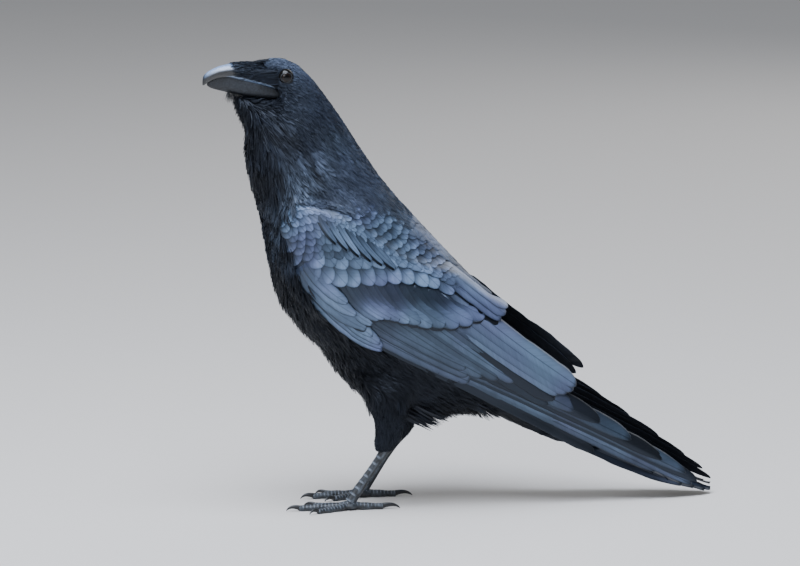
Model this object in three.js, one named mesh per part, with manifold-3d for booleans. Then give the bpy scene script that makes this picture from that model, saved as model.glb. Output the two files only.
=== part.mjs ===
// A common raven, life size, standing at rest with its wings folded and its tail tip on the ground.
// Millimetres, +Z up. The bird faces -X, its left side is -Y. The origin is on the ground, under the
// middle of the box that holds the bird.
//
// The body is one lofted form, parted by thin cuts into head, neck, trunk and tail coverts. The folded
// wings are shells of a wider envelope, laid against the body and parted into coverts, secondaries and
// primaries. Bill, eyes, legs, toes and claws are solids of their own.

import * as THREE from 'three';
import { mergeVertices } from 'three/addons/utils/BufferGeometryUtils.js';
import Module from 'manifold-3d';

const wasm = await Module();
wasm.setup();

// ---- driving dimensions, in millimetres and degrees ----

const CUT = 0.3; // width of the thin cut between neighbours
const MOST_Y = 200; // half the depth of a cutter, past both sides of the bird

// Sections of the body from the bill's root to the tail coverts: the point on the back (dx, dz), the
// point on the underside (vx, vz), the half width w, and how square the section is.
const BODY = [
  { dx: -188, dz: 397, vx: -206, vz: 377, w: 5, square: 2 },
  { dx: -185, dz: 401, vx: -207, vz: 373, w: 9, square: 2 },
  { dx: -174, dz: 405.5, vx: -199, vz: 356, w: 19, square: 2.2 },
  { dx: -158.5, dz: 405.5, vx: -193, vz: 343, w: 25, square: 2.3 },
  { dx: -140, dz: 394.5, vx: -193, vz: 328, w: 29, square: 2.2 },
  { dx: -122, dz: 371.5, vx: -192.5, vz: 312, w: 34, square: 2.1 },
  { dx: -104, dz: 345.5, vx: -188, vz: 294, w: 39, square: 2.1 },
  { dx: -83, dz: 312.5, vx: -182, vz: 275, w: 46, square: 2.1 },
  { dx: -61, dz: 283, vx: -177, vz: 252, w: 54, square: 2.2 },
  { dx: -36, dz: 256, vx: -172, vz: 227, w: 60, square: 2.2 },
  { dx: -13, dz: 231, vx: -166, vz: 196, w: 62, square: 2.2 },
  { dx: 7, dz: 210, vx: -148, vz: 166, w: 61, square: 2.2 },
  { dx: 23, dz: 193, vx: -119, vz: 138, w: 58, square: 2.2 },
  { dx: 33, dz: 173, vx: -101, vz: 110, w: 53, square: 2.2 },
  { dx: 37, dz: 152, vx: -65, vz: 86, w: 47, square: 2.2 },
  { dx: 41, dz: 134, vx: -28, vz: 81, w: 40, square: 2.2 },
  { dx: 48, dz: 118, vx: 5, vz: 87, w: 32, square: 2.2 },
  { dx: 62, dz: 106, vx: 38, vz: 76, w: 25, square: 2.2 },
  { dx: 78, dz: 96, vx: 66, vz: 63, w: 20, square: 2 },
  { dx: 106, dz: 78, vx: 101, vz: 51, w: 15, square: 2 },
  { dx: 124, dz: 67, vx: 122, vz: 56, w: 8, square: 2 },
];
const BODY_AROUND = 24;
const BODY_ROWS = 27;

// Where the body is parted, as a row number of BODY.
const HEAD_END = 4.8;
const NECK_END = 7.4;
const TRUNK_END = 15.6;

// Sections of the envelope round the body and the folded wings, from the neck to the wing tips.
const WINGS = [
  { dx: -114, dz: 358, vx: -192, vz: 300, w: 36, square: 2.1 },
  { dx: -80, dz: 313, vx: -183, vz: 274, w: 53, square: 2.1 },
  { dx: -58, dz: 285, vx: -178, vz: 251, w: 64, square: 2.2 },
  { dx: -34, dz: 260, vx: -173, vz: 227, w: 69, square: 2.3 },
  { dx: -11, dz: 234, vx: -167, vz: 196, w: 70, square: 2.3 },
  { dx: 11, dz: 212, vx: -150, vz: 166, w: 68.5, square: 2.3 },
  { dx: 31, dz: 194, vx: -124, vz: 138, w: 66, square: 2.3 },
  { dx: 53, dz: 177, vx: -94, vz: 112, w: 62, square: 2.2 },
  { dx: 78, dz: 157, vx: -54, vz: 92, w: 57, square: 2.2 },
  { dx: 104, dz: 130, vx: -4, vz: 76, w: 50, square: 2.1 },
  { dx: 129, dz: 101, vx: 46, vz: 60, w: 43, square: 2 },
  { dx: 158, dz: 76, vx: 96, vz: 42, w: 35, square: 2 },
  { dx: 191, dz: 52, vx: 150, vz: 22, w: 27, square: 2 },
  { dx: 222, dz: 30, vx: 196, vz: 6, w: 18, square: 2 },
  { dx: 240, dz: 14, vx: 228, vz: -2, w: 12, square: 2 },
];
const WING_AROUND = 24;
const WING_ROWS = 17;
const SECONDARY_THICK = 4;
const PRIMARY_THICK = 2.6;
const WING_SPREAD = 4; // half the gap between the wings over the back

// Outline of the folded left wing seen from the side, clockwise from the bend, as x, z.
const WING_EDGE = [
  [-172, 262], [-167, 273], [-155, 280], [-130, 279], [-108, 270], [-86, 252], [-62, 233], [-30, 221],
  [-13, 219], [3, 209], [22, 193], [44, 180], [66, 164], [86, 146], [97, 134], [104, 126], [98, 112],
  [111, 109.5], [125, 99.5], [138, 87.5], [152, 77], [180, 56.5], [207, 38], [221, 27], [230, 15],
  [232.3, 9], [226, 6.5], [196, 18], [156, 37],
  [118, 54], [82, 74], [28, 97], [0, 110], [-36, 127], [-62, 143], [-78, 149], [-98, 156],
  [-119, 167], [-142, 183], [-158, 200], [-169, 222], [-174, 243],
];
// The lower edge of the wing coverts, with the long tip of the primary coverts, as x, z.
const COVERT_EDGE = [
  [-10, 240], [-2, 206], [12, 176], [-8, 169], [-36, 170], [-70, 179], [-77, 166], [-72, 140],
];
// The ends of the secondaries and tertials.
const SECONDARY_EDGE = [[120, 128], [99, 111], [86, 106], [52, 113], [20, 117], [-3, 124], [0, 100]];
// The coverts' side of the first edge, where the wing is filled down to the body, and the secondaries'
// side of the second.
const COVERT_AREA = [...COVERT_EDGE, [-200, 140], [-200, 300], [-60, 300]];
const SECONDARY_AREA = [...SECONDARY_EDGE, [-90, 110], [-90, 230], [60, 240], [125, 175]];

// Tail: a fan of long feathers, folded, arched across and with a wedge-shaped end that rests on the ground.
const TAIL = {
  root: [26, 99],
  tip: [232, 0.6],
  rootHalf: 15,
  widestHalf: 31,
  widestAt: 0.72,
  endHalf: 9,
  arch: 12.5,
  thickRoot: 7,
  thickTip: 2,
  outerLength: 0.74, // how far along the outermost feathers end
};

// Bill: rows from the tip to the root, as x, the ridge or lower edge, the mouth line and the half width.
const UPPER_BILL = [
  { x: -232.2, top: 387.5, low: 383.2, w: 0.9 },
  { x: -231, top: 391.5, low: 382.8, w: 2 },
  { x: -228, top: 394.2, low: 385.3, w: 3.4 },
  { x: -223, top: 397.2, low: 388, w: 4.9 },
  { x: -217, top: 399.6, low: 390, w: 6.4 },
  { x: -207, top: 401.6, low: 390.2, w: 8.2 },
  { x: -195, top: 402.4, low: 387.4, w: 10.2 },
  { x: -182, top: 401.6, low: 384, w: 11.8 },
  { x: -171, top: 399.5, low: 380, w: 12.6 },
];
const LOWER_BILL = [
  { x: -227.5, top: 384.7, low: 381.6, w: 1 },
  { x: -224.5, top: 386.8, low: 380, w: 2.2 },
  { x: -217, top: 389.6, low: 377.6, w: 4.2 },
  { x: -207, top: 389.9, low: 375.2, w: 6.3 },
  { x: -195, top: 387.1, low: 372.4, w: 9.2 },
  { x: -182, top: 383.7, low: 370, w: 11.6 },
  { x: -171, top: 379.7, low: 369, w: 13 },
  { x: -164.5, top: 376.5, low: 370, w: 12.4 },
];
const MOUTH_LAP = 1.6; // how far the lower bill reaches up inside the upper one before it is cut

// The face narrows towards the bill's root: the share taken off its width there, and how far it reaches.
const FACE_PINCH = { x: -188, z: 379, share: 0.58, alongX: 20, alongZ: 18 };
// The bare side of the lower bill, which the cheek's feathers leave open, as x, z.
const BARE_BILL = [
  [-240, 380], [-217, 377], [-207, 374.6], [-195, 371.8], [-182, 369.4], [-172, 368.2], [-166, 370],
  [-164, 374], [-166, 378.4], [-172, 382.6], [-182, 386.4], [-240, 393],
];

const EYE = { x: -160, y: 15.6, z: 390.7, radius: 7.4 };

// Left leg, with the right leg a step further back. Rows are x, z, half depth along X, half width.
const HIP_Y = 33;
const STEP = 23;
const THIGH = [
  { x: -66, z: 124, depth: 34, w: 14 },
  { x: -69, z: 108, depth: 27, w: 16.5 },
  { x: -69, z: 94, depth: 19, w: 15.5 },
  { x: -68.5, z: 82, depth: 14.2, w: 13.5 },
  { x: -69, z: 70, depth: 12.8, w: 11 },
  { x: -71.5, z: 60, depth: 11.5, w: 9 },
  { x: -75.5, z: 52.5, depth: 7.5, w: 6.8 },
];
const TARSUS = { top: [-70, 60], low: [-105, 7], width: 7.4, depth: 9, kneeDepth: 11.5, flare: 0.15 };
const TOES = [
  { name: 'toe1', turn: 180, length: 30, radius: 4.2, claw: 17, clawRadius: 2.6, pads: 2, nextTurns: [] },
  { name: 'toe2', turn: 30, length: 34, radius: 3.8, claw: 12, clawRadius: 2.2, pads: 2, nextTurns: [2] },
  { name: 'toe3', turn: 2, length: 46, radius: 4.1, claw: 13, clawRadius: 2.4, pads: 3, nextTurns: [30, -28] },
  { name: 'toe4', turn: -28, length: 36, radius: 3.6, claw: 11, clawRadius: 2, pads: 3, nextTurns: [2] },
];
const FOOT_RADIUS = 6; // from the foot's middle to where the toes begin
const FOOT_HEIGHT = 4.4;
const TOE_TAPER = 0.26;
const TOE_RISE = 1.6; // how much higher a toe's root is than its end
const PAD_SWELL = 0.09;
const SOLE_DEPTH = 1; // how much of a toe's round underside is flattened on the ground
const CLAW_BEND = 1.15;
const CLAW_ARCH = 1.6;

// ---- finishes ----

function finish(color, roughness, metalness = 0) {
  return new THREE.MeshStandardMaterial({ color, roughness, metalness });
}
const PLUMAGE = finish(0x14161b, 0.5);
const FLIGHT_FEATHERS = finish(0x1b2029, 0.42);
const HORN = finish(0x15171a, 0.3);
const EYE_GLOSS = finish(0x140c08, 0.08);
const LEG_SCALES = finish(0x17191c, 0.45);

// ---- shaping tools ----

// A closed geometry as a solid that can be cut and joined.
function solidOf(geometry) {
  const bare = geometry.clone();
  bare.deleteAttribute('normal');
  bare.deleteAttribute('uv');
  const merged = mergeVertices(bare, 1e-4);
  const made = new wasm.Manifold(
    new wasm.Mesh({
      numProp: 3,
      vertProperties: merged.attributes.position.array,
      triVerts: new Uint32Array(merged.index.array),
    }),
  );
  if (made.volume() > 0) return made;
  for (let i = 0; i < merged.index.count; i += 3) {
    const first = merged.index.getX(i);
    merged.index.setX(i, merged.index.getX(i + 1));
    merged.index.setX(i + 1, first);
  }
  return new wasm.Manifold(
    new wasm.Mesh({
      numProp: 3,
      vertProperties: merged.attributes.position.array,
      triVerts: new Uint32Array(merged.index.array),
    }),
  );
}

// The largest of the bodies that a cut leaves.
function largest(solid) {
  return solid.decompose().sort((a, b) => b.volume() - a.volume())[0];
}

function meshOf(name, solid, material) {
  const cut = largest(solid).getMesh();
  const position = new Float32Array(cut.numVert * 3);
  for (let i = 0; i < cut.numVert; i += 1) {
    position.set(cut.vertProperties.subarray(i * cut.numProp, i * cut.numProp + 3), i * 3);
  }
  const geometry = new THREE.BufferGeometry();
  geometry.setAttribute('position', new THREE.BufferAttribute(position, 3));
  geometry.setIndex(new THREE.BufferAttribute(cut.triVerts, 1));
  geometry.computeVertexNormals();
  const mesh = new THREE.Mesh(geometry, material);
  mesh.name = name;
  return mesh;
}

// Moves every vertex of a geometry to where place says.
function warp(geometry, place) {
  const at = geometry.attributes.position;
  const from = new THREE.Vector3();
  for (let i = 0; i < at.count; i += 1) {
    from.fromBufferAttribute(at, i);
    const to = place(from);
    at.setXYZ(i, to.x, to.y, to.z);
  }
  return geometry;
}

// A smooth reading of rows of numbers: row(1.5) is halfway between the second and third.
function smoothRows(rows, keys) {
  const values = rows.flatMap((row) => keys.map((key) => row[key]));
  const reader = new THREE.CubicInterpolant(rows.map((_, i) => i), values, keys.length);
  return (at) => {
    const found = reader.evaluate(THREE.MathUtils.clamp(at, 0, rows.length - 1));
    return Object.fromEntries(keys.map((key, i) => [key, found[i]]));
  };
}

// A closed tube with flat ends: section(t, side, up) gives a point, with t from 0 to 1 along it.
function tube(around, rows, section) {
  const plain = new THREE.CylinderGeometry(1, 1, 1, around, rows);
  return solidOf(warp(plain, ({ x, y, z }) => section(0.5 - y, x, z)));
}

function rounded(value, square) {
  return Math.sign(value) * Math.abs(value) ** (2 / square);
}

// How much of its full width the face has at a place seen from the side.
function faceWidth(x, z) {
  const away = ((x - FACE_PINCH.x) / FACE_PINCH.alongX) ** 2 + ((z - FACE_PINCH.z) / FACE_PINCH.alongZ) ** 2;
  return 1 - FACE_PINCH.share * Math.exp(-away);
}

// A body lofted through rows of back and underside points, grown on all sides by grow.
function bodyLoft(rows, around, count, grow = 0) {
  const read = smoothRows(rows, ['dx', 'dz', 'vx', 'vz', 'w', 'square']);
  return tube(around, count, (t, side, up) => {
    const row = read(t * (rows.length - 1));
    const half = Math.hypot(row.dx - row.vx, row.dz - row.vz) / 2;
    const tall = (half + grow) / half / 2;
    const rise = rounded(up, row.square) * tall;
    const x = (row.dx + row.vx) / 2 + rise * (row.dx - row.vx);
    const z = (row.dz + row.vz) / 2 + rise * (row.dz - row.vz);
    return new THREE.Vector3(x, rounded(side, row.square) * (row.w + grow) * faceWidth(x, z), z);
  });
}

// The plane across a loft at a row number, as a normal that points to the tail and its offset.
function planeAcross(rows, at) {
  const row = smoothRows(rows, ['dx', 'dz', 'vx', 'vz'])(at);
  const across = new THREE.Vector3(row.dx - row.vx, 0, row.dz - row.vz).normalize();
  const normal = new THREE.Vector3(across.z, 0, -across.x);
  const middle = new THREE.Vector3((row.dx + row.vx) / 2, 0, (row.dz + row.vz) / 2);
  return { normal, offset: normal.dot(middle) };
}

function keepTailward(solid, { normal, offset }) {
  return solid.trimByPlane(normal.toArray(), offset + CUT / 2);
}

function keepHeadward(solid, { normal, offset }) {
  return solid.trimByPlane(normal.clone().negate().toArray(), -offset + CUT / 2);
}

// A prism along Y from y1 to y2 over an outline of x, z points.
function prism(points, y1, y2) {
  const shape = new THREE.Shape(points.map(([x, z]) => new THREE.Vector2(x, z)));
  const plain = new THREE.ExtrudeGeometry(shape, { depth: y2 - y1, bevelEnabled: false });
  return solidOf(plain.rotateX(Math.PI / 2).translate(0, y2, 0));
}

// A thin wall along Y over an open line of x, z points, to part what it crosses.
function wall(points, y1, y2) {
  const line = points.map(([x, z]) => new THREE.Vector2(x, z));
  const sides = line.map((p, i) => {
    const along = line[Math.min(i + 1, line.length - 1)].clone().sub(line[Math.max(i - 1, 0)]).normalize();
    return new THREE.Vector2(-along.y, along.x).multiplyScalar(CUT / 2);
  });
  const there = line.map((p, i) => p.clone().add(sides[i]).toArray());
  const back = line.map((p, i) => p.clone().sub(sides[i]).toArray()).reverse();
  return prism([...there, ...back], y1, y2);
}

// ---- body ----

const body = bodyLoft(BODY, BODY_AROUND, BODY_ROWS);
const bodyGrown = bodyLoft(BODY, BODY_AROUND, BODY_ROWS, CUT);
const headCut = planeAcross(BODY, HEAD_END);
const neckCut = planeAcross(BODY, NECK_END);
const trunkCut = planeAcross(BODY, TRUNK_END);

// Half of the bill: round outside, and flat with a sharp edge at the mouth, where mouth is 1 if that side
// is up and -1 if it is down.
function billHalf(rows, mouth, grow, lap = 0) {
  const read = smoothRows(rows, ['x', 'top', 'low', 'w']);
  const around = 14;
  const along = 9;
  return tube(around, along, (t, side, up) => {
    const row = read(t * (rows.length - 1));
    const high = row.top + grow + (mouth > 0 ? lap : 0);
    const low = row.low - grow;
    const square = up * mouth > 0 ? 5 : 2.1;
    return new THREE.Vector3(
      row.x + (t - 0.5) * 2 * grow,
      rounded(side, square) * (row.w + grow),
      (high + low) / 2 + (rounded(up, square) * (high - low)) / 2,
    );
  });
}

function eyeball(side, grow = 0) {
  const ball = new THREE.SphereGeometry(EYE.radius + grow, 12, 7);
  return solidOf(ball.translate(EYE.x, side * EYE.y, EYE.z));
}

// ---- wings ----

function wingShell(side) {
  const span = side < 0 ? [-MOST_Y, -WING_SPREAD] : [WING_SPREAD, MOST_Y];
  const outside = bodyLoft(WINGS, WING_AROUND, WING_ROWS);
  const flight = outside.subtract(bodyLoft(WINGS, WING_AROUND, WING_ROWS, -SECONDARY_THICK));
  const pad = outside.intersect(prism(COVERT_AREA, ...span));
  return flight.add(pad).intersect(prism(WING_EDGE, ...span)).subtract(bodyGrown).subtract(tailGrown);
}

function wingNodes(side, mark) {
  const span = side < 0 ? [-MOST_Y, 0] : [0, MOST_Y];
  const shell = wingShell(side);
  const covertWall = wall(COVERT_EDGE, ...span);
  const secondaryWall = wall(SECONDARY_EDGE, ...span);
  const covertArea = prism(COVERT_AREA, ...span);
  const secondaryArea = prism(SECONDARY_AREA, ...span);
  const thin = shell.subtract(bodyLoft(WINGS, WING_AROUND, WING_ROWS, -PRIMARY_THICK));
  const coverts = shell.intersect(covertArea).subtract(covertWall);
  const secondaries = shell.subtract(covertArea).subtract(covertWall).intersect(secondaryArea)
    .subtract(secondaryWall);
  const primaries = thin.subtract(covertArea).subtract(covertWall).subtract(secondaryArea)
    .subtract(secondaryWall);
  return [
    meshOf(`wing_${mark}_coverts`, coverts, PLUMAGE),
    meshOf(`wing_${mark}_secondaries`, secondaries, FLIGHT_FEATHERS),
    meshOf(`wing_${mark}_primaries`, primaries, FLIGHT_FEATHERS),
  ];
}

// ---- tail ----

function tailFan(grow = 0) {
  const [rootX, rootZ] = TAIL.root;
  const [tipX, tipZ] = TAIL.tip;
  const along = new THREE.Vector3(tipX - rootX, 0, tipZ - rootZ);
  const length = along.length();
  const up = new THREE.Vector3(-along.z, 0, along.x).normalize();
  const plain = new THREE.BoxGeometry(1, 1, 1, 10, 6, 1);
  return solidOf(
    warp(plain, ({ x, y, z }) => {
      const across = y * 2;
      const reach = 1 - (1 - TAIL.outerLength) * Math.abs(across) ** 1.6;
      const t = (x + 0.5) * reach;
      const swell = Math.sin((Math.PI / 2) * Math.min(t / TAIL.widestAt, 1));
      const shrink = Math.max(t - TAIL.widestAt, 0) / (1 - TAIL.widestAt);
      const half = THREE.MathUtils.lerp(TAIL.rootHalf, TAIL.widestHalf, swell)
        - (TAIL.widestHalf - TAIL.endHalf) * shrink ** 2 + grow;
      const thick = THREE.MathUtils.lerp(TAIL.thickRoot, TAIL.thickTip, t) + 2 * grow;
      const drop = TAIL.arch * across ** 2 * (half / TAIL.widestHalf) * (1 - t ** 4 * 0.6);
      const lift = z * thick - drop;
      return new THREE.Vector3(rootX, across * half, rootZ)
        .addScaledVector(along, t - ((1 - t) * grow) / length)
        .addScaledVector(up, lift);
    }),
  );
}

const tailGrown = tailFan(CUT);

// ---- legs ----

function thigh(side, grow = 0) {
  const read = smoothRows(THIGH, ['x', 'z', 'depth', 'w']);
  const back = side > 0 ? STEP : 0;
  return tube(12, 7, (t, across, along) => {
    const row = read(t * (THIGH.length - 1));
    const x = row.x + back + along * (row.depth + grow);
    return new THREE.Vector3(x, side * HIP_Y + across * (row.w + grow), row.z - grow * t);
  });
}

// The bare shank, thickest at the ankle joint, where it enters the feathers, and at the foot.
function tarsus(side) {
  const back = side > 0 ? STEP : 0;
  const top = new THREE.Vector3(TARSUS.top[0] + back, side * HIP_Y, TARSUS.top[1]);
  const low = new THREE.Vector3(TARSUS.low[0] + back, side * HIP_Y, TARSUS.low[1]);
  const along = low.clone().sub(top);
  const forward = new THREE.Vector3(along.z, 0, -along.x).normalize();
  return tube(8, 5, (t, across, fore) => {
    const knee = (TARSUS.kneeDepth - TARSUS.depth) * Math.max(0, 1 - t * 3);
    const flare = 1 + TARSUS.flare * Math.cos(t * Math.PI * 2);
    return top
      .clone()
      .addScaledVector(along, t)
      .addScaledVector(forward, ((fore * (TARSUS.depth + knee)) / 2) * flare)
      .add(new THREE.Vector3(0, ((across * TARSUS.width) / 2) * flare, 0));
  });
}

// The foot's middle and a toe's own directions, for a toe turned from straight ahead.
function footFrame(side, turn) {
  const back = side > 0 ? STEP : 0;
  const angle = THREE.MathUtils.degToRad(180 + side * turn);
  const out = new THREE.Vector3(Math.cos(angle), Math.sin(angle), 0);
  const middle = new THREE.Vector3(TARSUS.low[0] + back, side * HIP_Y, 0);
  return { middle, out, across: new THREE.Vector3(-out.y, out.x, 0) };
}

// A toe swells over its pads and lies on the ground, its underside flattened at the sole.
function toe(side, { turn, length, radius, pads }) {
  const { middle, out, across } = footFrame(side, turn);
  return tube(8, 7, (t, sideways, up) => {
    const size = radius * (1 - TOE_TAPER * t) * (1 + PAD_SWELL * Math.cos(t * Math.PI * 2 * pads));
    const height = radius * (1 - TOE_TAPER * t) - SOLE_DEPTH + TOE_RISE * Math.max(0, 1 - t * 3);
    return middle
      .clone()
      .addScaledVector(out, t * length)
      .addScaledVector(across, sideways * size)
      .add(new THREE.Vector3(0, 0, height + up * size));
  }).trimByPlane([0, 0, 1], 0);
}

// A claw bends down from the toe's end until its point touches the ground.
function claw(side, { turn, length, radius, claw: reach, clawRadius }) {
  const { middle, out, across } = footFrame(side, turn);
  const startHeight = radius * (1 - TOE_TAPER) - SOLE_DEPTH + 0.6;
  return tube(7, 5, (t, sideways, up) => {
    const bend = t * CLAW_BEND;
    const size = clawRadius * (1 - t) ** 0.8 + 0.3;
    const ahead = (Math.sin(bend) / Math.sin(CLAW_BEND)) * reach;
    const rise = startHeight + CLAW_ARCH * Math.sin(t * Math.PI) - (startHeight - 0.75) * t ** 1.6;
    return middle
      .clone()
      .addScaledVector(out, length + CUT + ahead + up * size * Math.sin(bend) * 0.5)
      .addScaledVector(across, sideways * size * 0.75)
      .add(new THREE.Vector3(0, 0, rise + up * size * Math.cos(bend * 0.6)));
  })
    .trimByPlane([0, 0, 1], 0.2)
    .trimByPlane(out.toArray(), middle.dot(out) + length + CUT);
}

// Cuts a toe away from the foot's pad and from the toes on its two sides.
function parted(solid, side, { turn, nextTurns }, start = FOOT_RADIUS + CUT) {
  const { middle, out } = footFrame(side, turn);
  let piece = solid.trimByPlane(out.toArray(), middle.dot(out) + start);
  for (const next of nextTurns) {
    const { across } = footFrame(side, (turn + next) / 2);
    const away = across.multiplyScalar(Math.sign(across.dot(out)));
    piece = piece.trimByPlane(away.toArray(), middle.dot(away) + CUT / 2);
  }
  return piece;
}

// The shank and the foot's middle, which is flat where each toe begins.
function shankAndPad(side) {
  const { middle } = footFrame(side, 0);
  const ball = new THREE.SphereGeometry(1, 10, 6).scale(FOOT_RADIUS * 1.25, FOOT_RADIUS * 1.1, FOOT_HEIGHT);
  const pad = TOES.reduce((solid, { turn }) => {
    const { out } = footFrame(side, turn);
    return solid.trimByPlane(out.clone().negate().toArray(), -middle.dot(out) - FOOT_RADIUS);
  }, solidOf(ball.translate(middle.x, middle.y, FOOT_HEIGHT - SOLE_DEPTH)));
  const overToes = TOES.reduce((solid, spec) => solid.subtract(clearance(side, spec)), tarsus(side));
  return pad.add(overToes).trimByPlane([0, 0, 1], 0).subtract(thigh(side, CUT));
}

// The room that a toe takes, with the thin cut round it.
function clearance(side, spec) {
  const wider = { ...spec, radius: spec.radius + CUT };
  return parted(toe(side, wider), side, spec, FOOT_RADIUS).translate([0, 0, CUT / 2]);
}

const wingRoom = bodyLoft(WINGS, WING_AROUND, WING_ROWS, CUT).intersect(prism(WING_EDGE, -MOST_Y, MOST_Y));

function legNodes(side, mark) {
  const nodes = [
    meshOf(`thigh_${mark}`, thigh(side).subtract(bodyGrown).subtract(wingRoom), PLUMAGE),
    meshOf(`tarsus_${mark}`, shankAndPad(side), LEG_SCALES),
  ];
  for (const spec of TOES) {
    nodes.push(meshOf(`${spec.name}_${mark}`, parted(toe(side, spec), side, spec), LEG_SCALES));
    nodes.push(meshOf(`claw_${spec.name}_${mark}`, claw(side, spec), HORN));
  }
  return nodes;
}

// ---- assembly ----

const raven = new THREE.Group();

const upperBill = billHalf(UPPER_BILL, -1, 0);
const lowerBill = billHalf(LOWER_BILL, 1, 0, MOUTH_LAP).subtract(billHalf(UPPER_BILL, -1, CUT));
const billRoom = billHalf(UPPER_BILL, -1, CUT).add(billHalf(LOWER_BILL, 1, CUT, MOUTH_LAP))
  .add(prism(BARE_BILL, -MOST_Y, MOST_Y));
const eyeRoom = eyeball(-1, CUT).add(eyeball(1, CUT));

raven.add(meshOf('bill_upper', upperBill, HORN));
raven.add(meshOf('bill_lower', lowerBill, HORN));
raven.add(meshOf('eye_l', eyeball(-1), EYE_GLOSS));
raven.add(meshOf('eye_r', eyeball(1), EYE_GLOSS));
raven.add(meshOf('head', keepHeadward(body, headCut).subtract(billRoom).subtract(eyeRoom), PLUMAGE));
raven.add(meshOf('neck', keepHeadward(keepTailward(body, headCut), neckCut), PLUMAGE));
raven.add(meshOf('trunk', keepHeadward(keepTailward(body, neckCut), trunkCut), PLUMAGE));
raven.add(meshOf('tail_coverts', keepTailward(body, trunkCut).subtract(tailGrown), PLUMAGE));
raven.add(meshOf('tail', keepTailward(tailFan(), trunkCut).trimByPlane([0, 0, 1], 0), FLIGHT_FEATHERS));

for (const [side, mark] of [[-1, 'l'], [1, 'r']]) {
  raven.add(...wingNodes(side, mark));
  raven.add(...legNodes(side, mark));
}

export default raven;
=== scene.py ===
from functools import partial
from itertools import product
import math
import bpy
import numpy as np
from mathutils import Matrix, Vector
from mathutils.bvhtree import BVHTree


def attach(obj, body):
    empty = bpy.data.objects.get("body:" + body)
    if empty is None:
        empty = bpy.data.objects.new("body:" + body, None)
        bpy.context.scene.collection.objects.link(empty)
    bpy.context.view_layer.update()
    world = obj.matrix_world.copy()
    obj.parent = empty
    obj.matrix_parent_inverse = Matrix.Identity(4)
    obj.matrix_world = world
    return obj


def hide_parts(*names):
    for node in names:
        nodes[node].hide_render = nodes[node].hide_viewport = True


# A common raven at rest. The bird faces -X and its left side is -Y. Metres, with layouts in millimetres.
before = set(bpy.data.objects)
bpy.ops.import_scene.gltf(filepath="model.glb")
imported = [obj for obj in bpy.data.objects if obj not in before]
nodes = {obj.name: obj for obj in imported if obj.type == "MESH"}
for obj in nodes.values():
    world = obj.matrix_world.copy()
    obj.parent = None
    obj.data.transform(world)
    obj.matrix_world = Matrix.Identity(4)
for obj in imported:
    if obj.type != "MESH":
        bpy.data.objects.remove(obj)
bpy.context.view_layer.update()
rng = np.random.default_rng(11)
mm = 0.001
eyeball = {"radius": 7.4, "x": -160, "y": 15.6, "z": 390.7}
eyePlaces = np.array([(eyeball["x"], side * eyeball["y"], eyeball["z"]) for side in (-1, 1)]) / 1000


def linear(hexColour):
    parts = [int(hexColour[i:i + 2], 16) / 255 for i in (1, 3, 5)]
    return tuple(p / 12.92 if p <= 0.04045 else ((p + 0.055) / 1.055) ** 2.4 for p in parts) + (1.0,)


def addNode(material, kind, inputs=(), out=0, **settings):
    # An input is a plain value or the socket that feeds it. Gives back one output, or all for None.
    tree = material.node_tree
    node = tree.nodes.new("ShaderNode" + kind)
    for key, value in settings.items():
        setattr(node, key, value)
    for key, value in dict(inputs).items():
        if isinstance(value, bpy.types.NodeSocket):
            tree.links.new(value, node.inputs[key])
        else:
            node.inputs[key].default_value = value
    return node.outputs if out is None else node.outputs[out]


def newMaterial(name, **settings):
    # Gives the tool that adds nodes to the new material too.
    material = bpy.data.materials.new(name)
    material.use_nodes = True
    shader = material.node_tree.nodes["Principled BSDF"]
    for key, value in settings.items():
        shader.inputs[key.replace("_", " ")].default_value = value
    return material, shader, partial(addNode, material)


def feed(shader, **sockets):
    for key, socket in sockets.items():
        shader.id_data.links.new(socket, shader.inputs[key.replace("_", " ")])


def unit(vectors):
    return vectors / np.maximum(np.linalg.norm(vectors, axis=-1, keepdims=True), 1e-12)


def stacked(*parts):
    return np.stack(np.broadcast_arrays(*parts), -1)


def smoothstep(low, high, value):
    t = np.clip((value - low) / (high - low), 0, 1)
    return t * t * (3 - 2 * t)


def along(points, t):
    # Points at the fractions t of a polyline's length.
    points = np.asarray(points, float)
    steps = np.linalg.norm(np.diff(points, axis=0), axis=1)
    reach = np.concatenate([[0], np.cumsum(steps)]) / steps.sum()
    return np.stack([np.interp(t, reach, column) for column in points.T], -1)


def smoothRows(rows, t):
    # Rows of numbers read smoothly: t from 0 to 1 over all of them.
    rows = np.asarray(rows, float)
    at = np.clip(t, 0, 1) * (len(rows) - 1)
    i = np.minimum(at.astype(int), len(rows) - 2)
    f = (at - i)[:, None]
    a, b, c, d = (rows[np.clip(i + k, 0, len(rows) - 1)] for k in (-1, 0, 1, 2))
    return b + f * (c - a + f * (2 * a - 5 * b + 4 * c - d + f * (3 * (b - c) + d - a))) / 2


def reader(shape, count):
    # Reads a setting that holds one value for all, or one for each.
    def each(key, fallback=0.0):
        return np.broadcast_to(np.asarray(shape.get(key, fallback), float), (count,))[:, None]

    return each


def placePiece(piece, material, replaced=()):
    piece.data.materials.clear()
    piece.data.materials.append(material)
    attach(piece, "root")
    if replaced:
        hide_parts(*replaced)
    return piece


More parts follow.
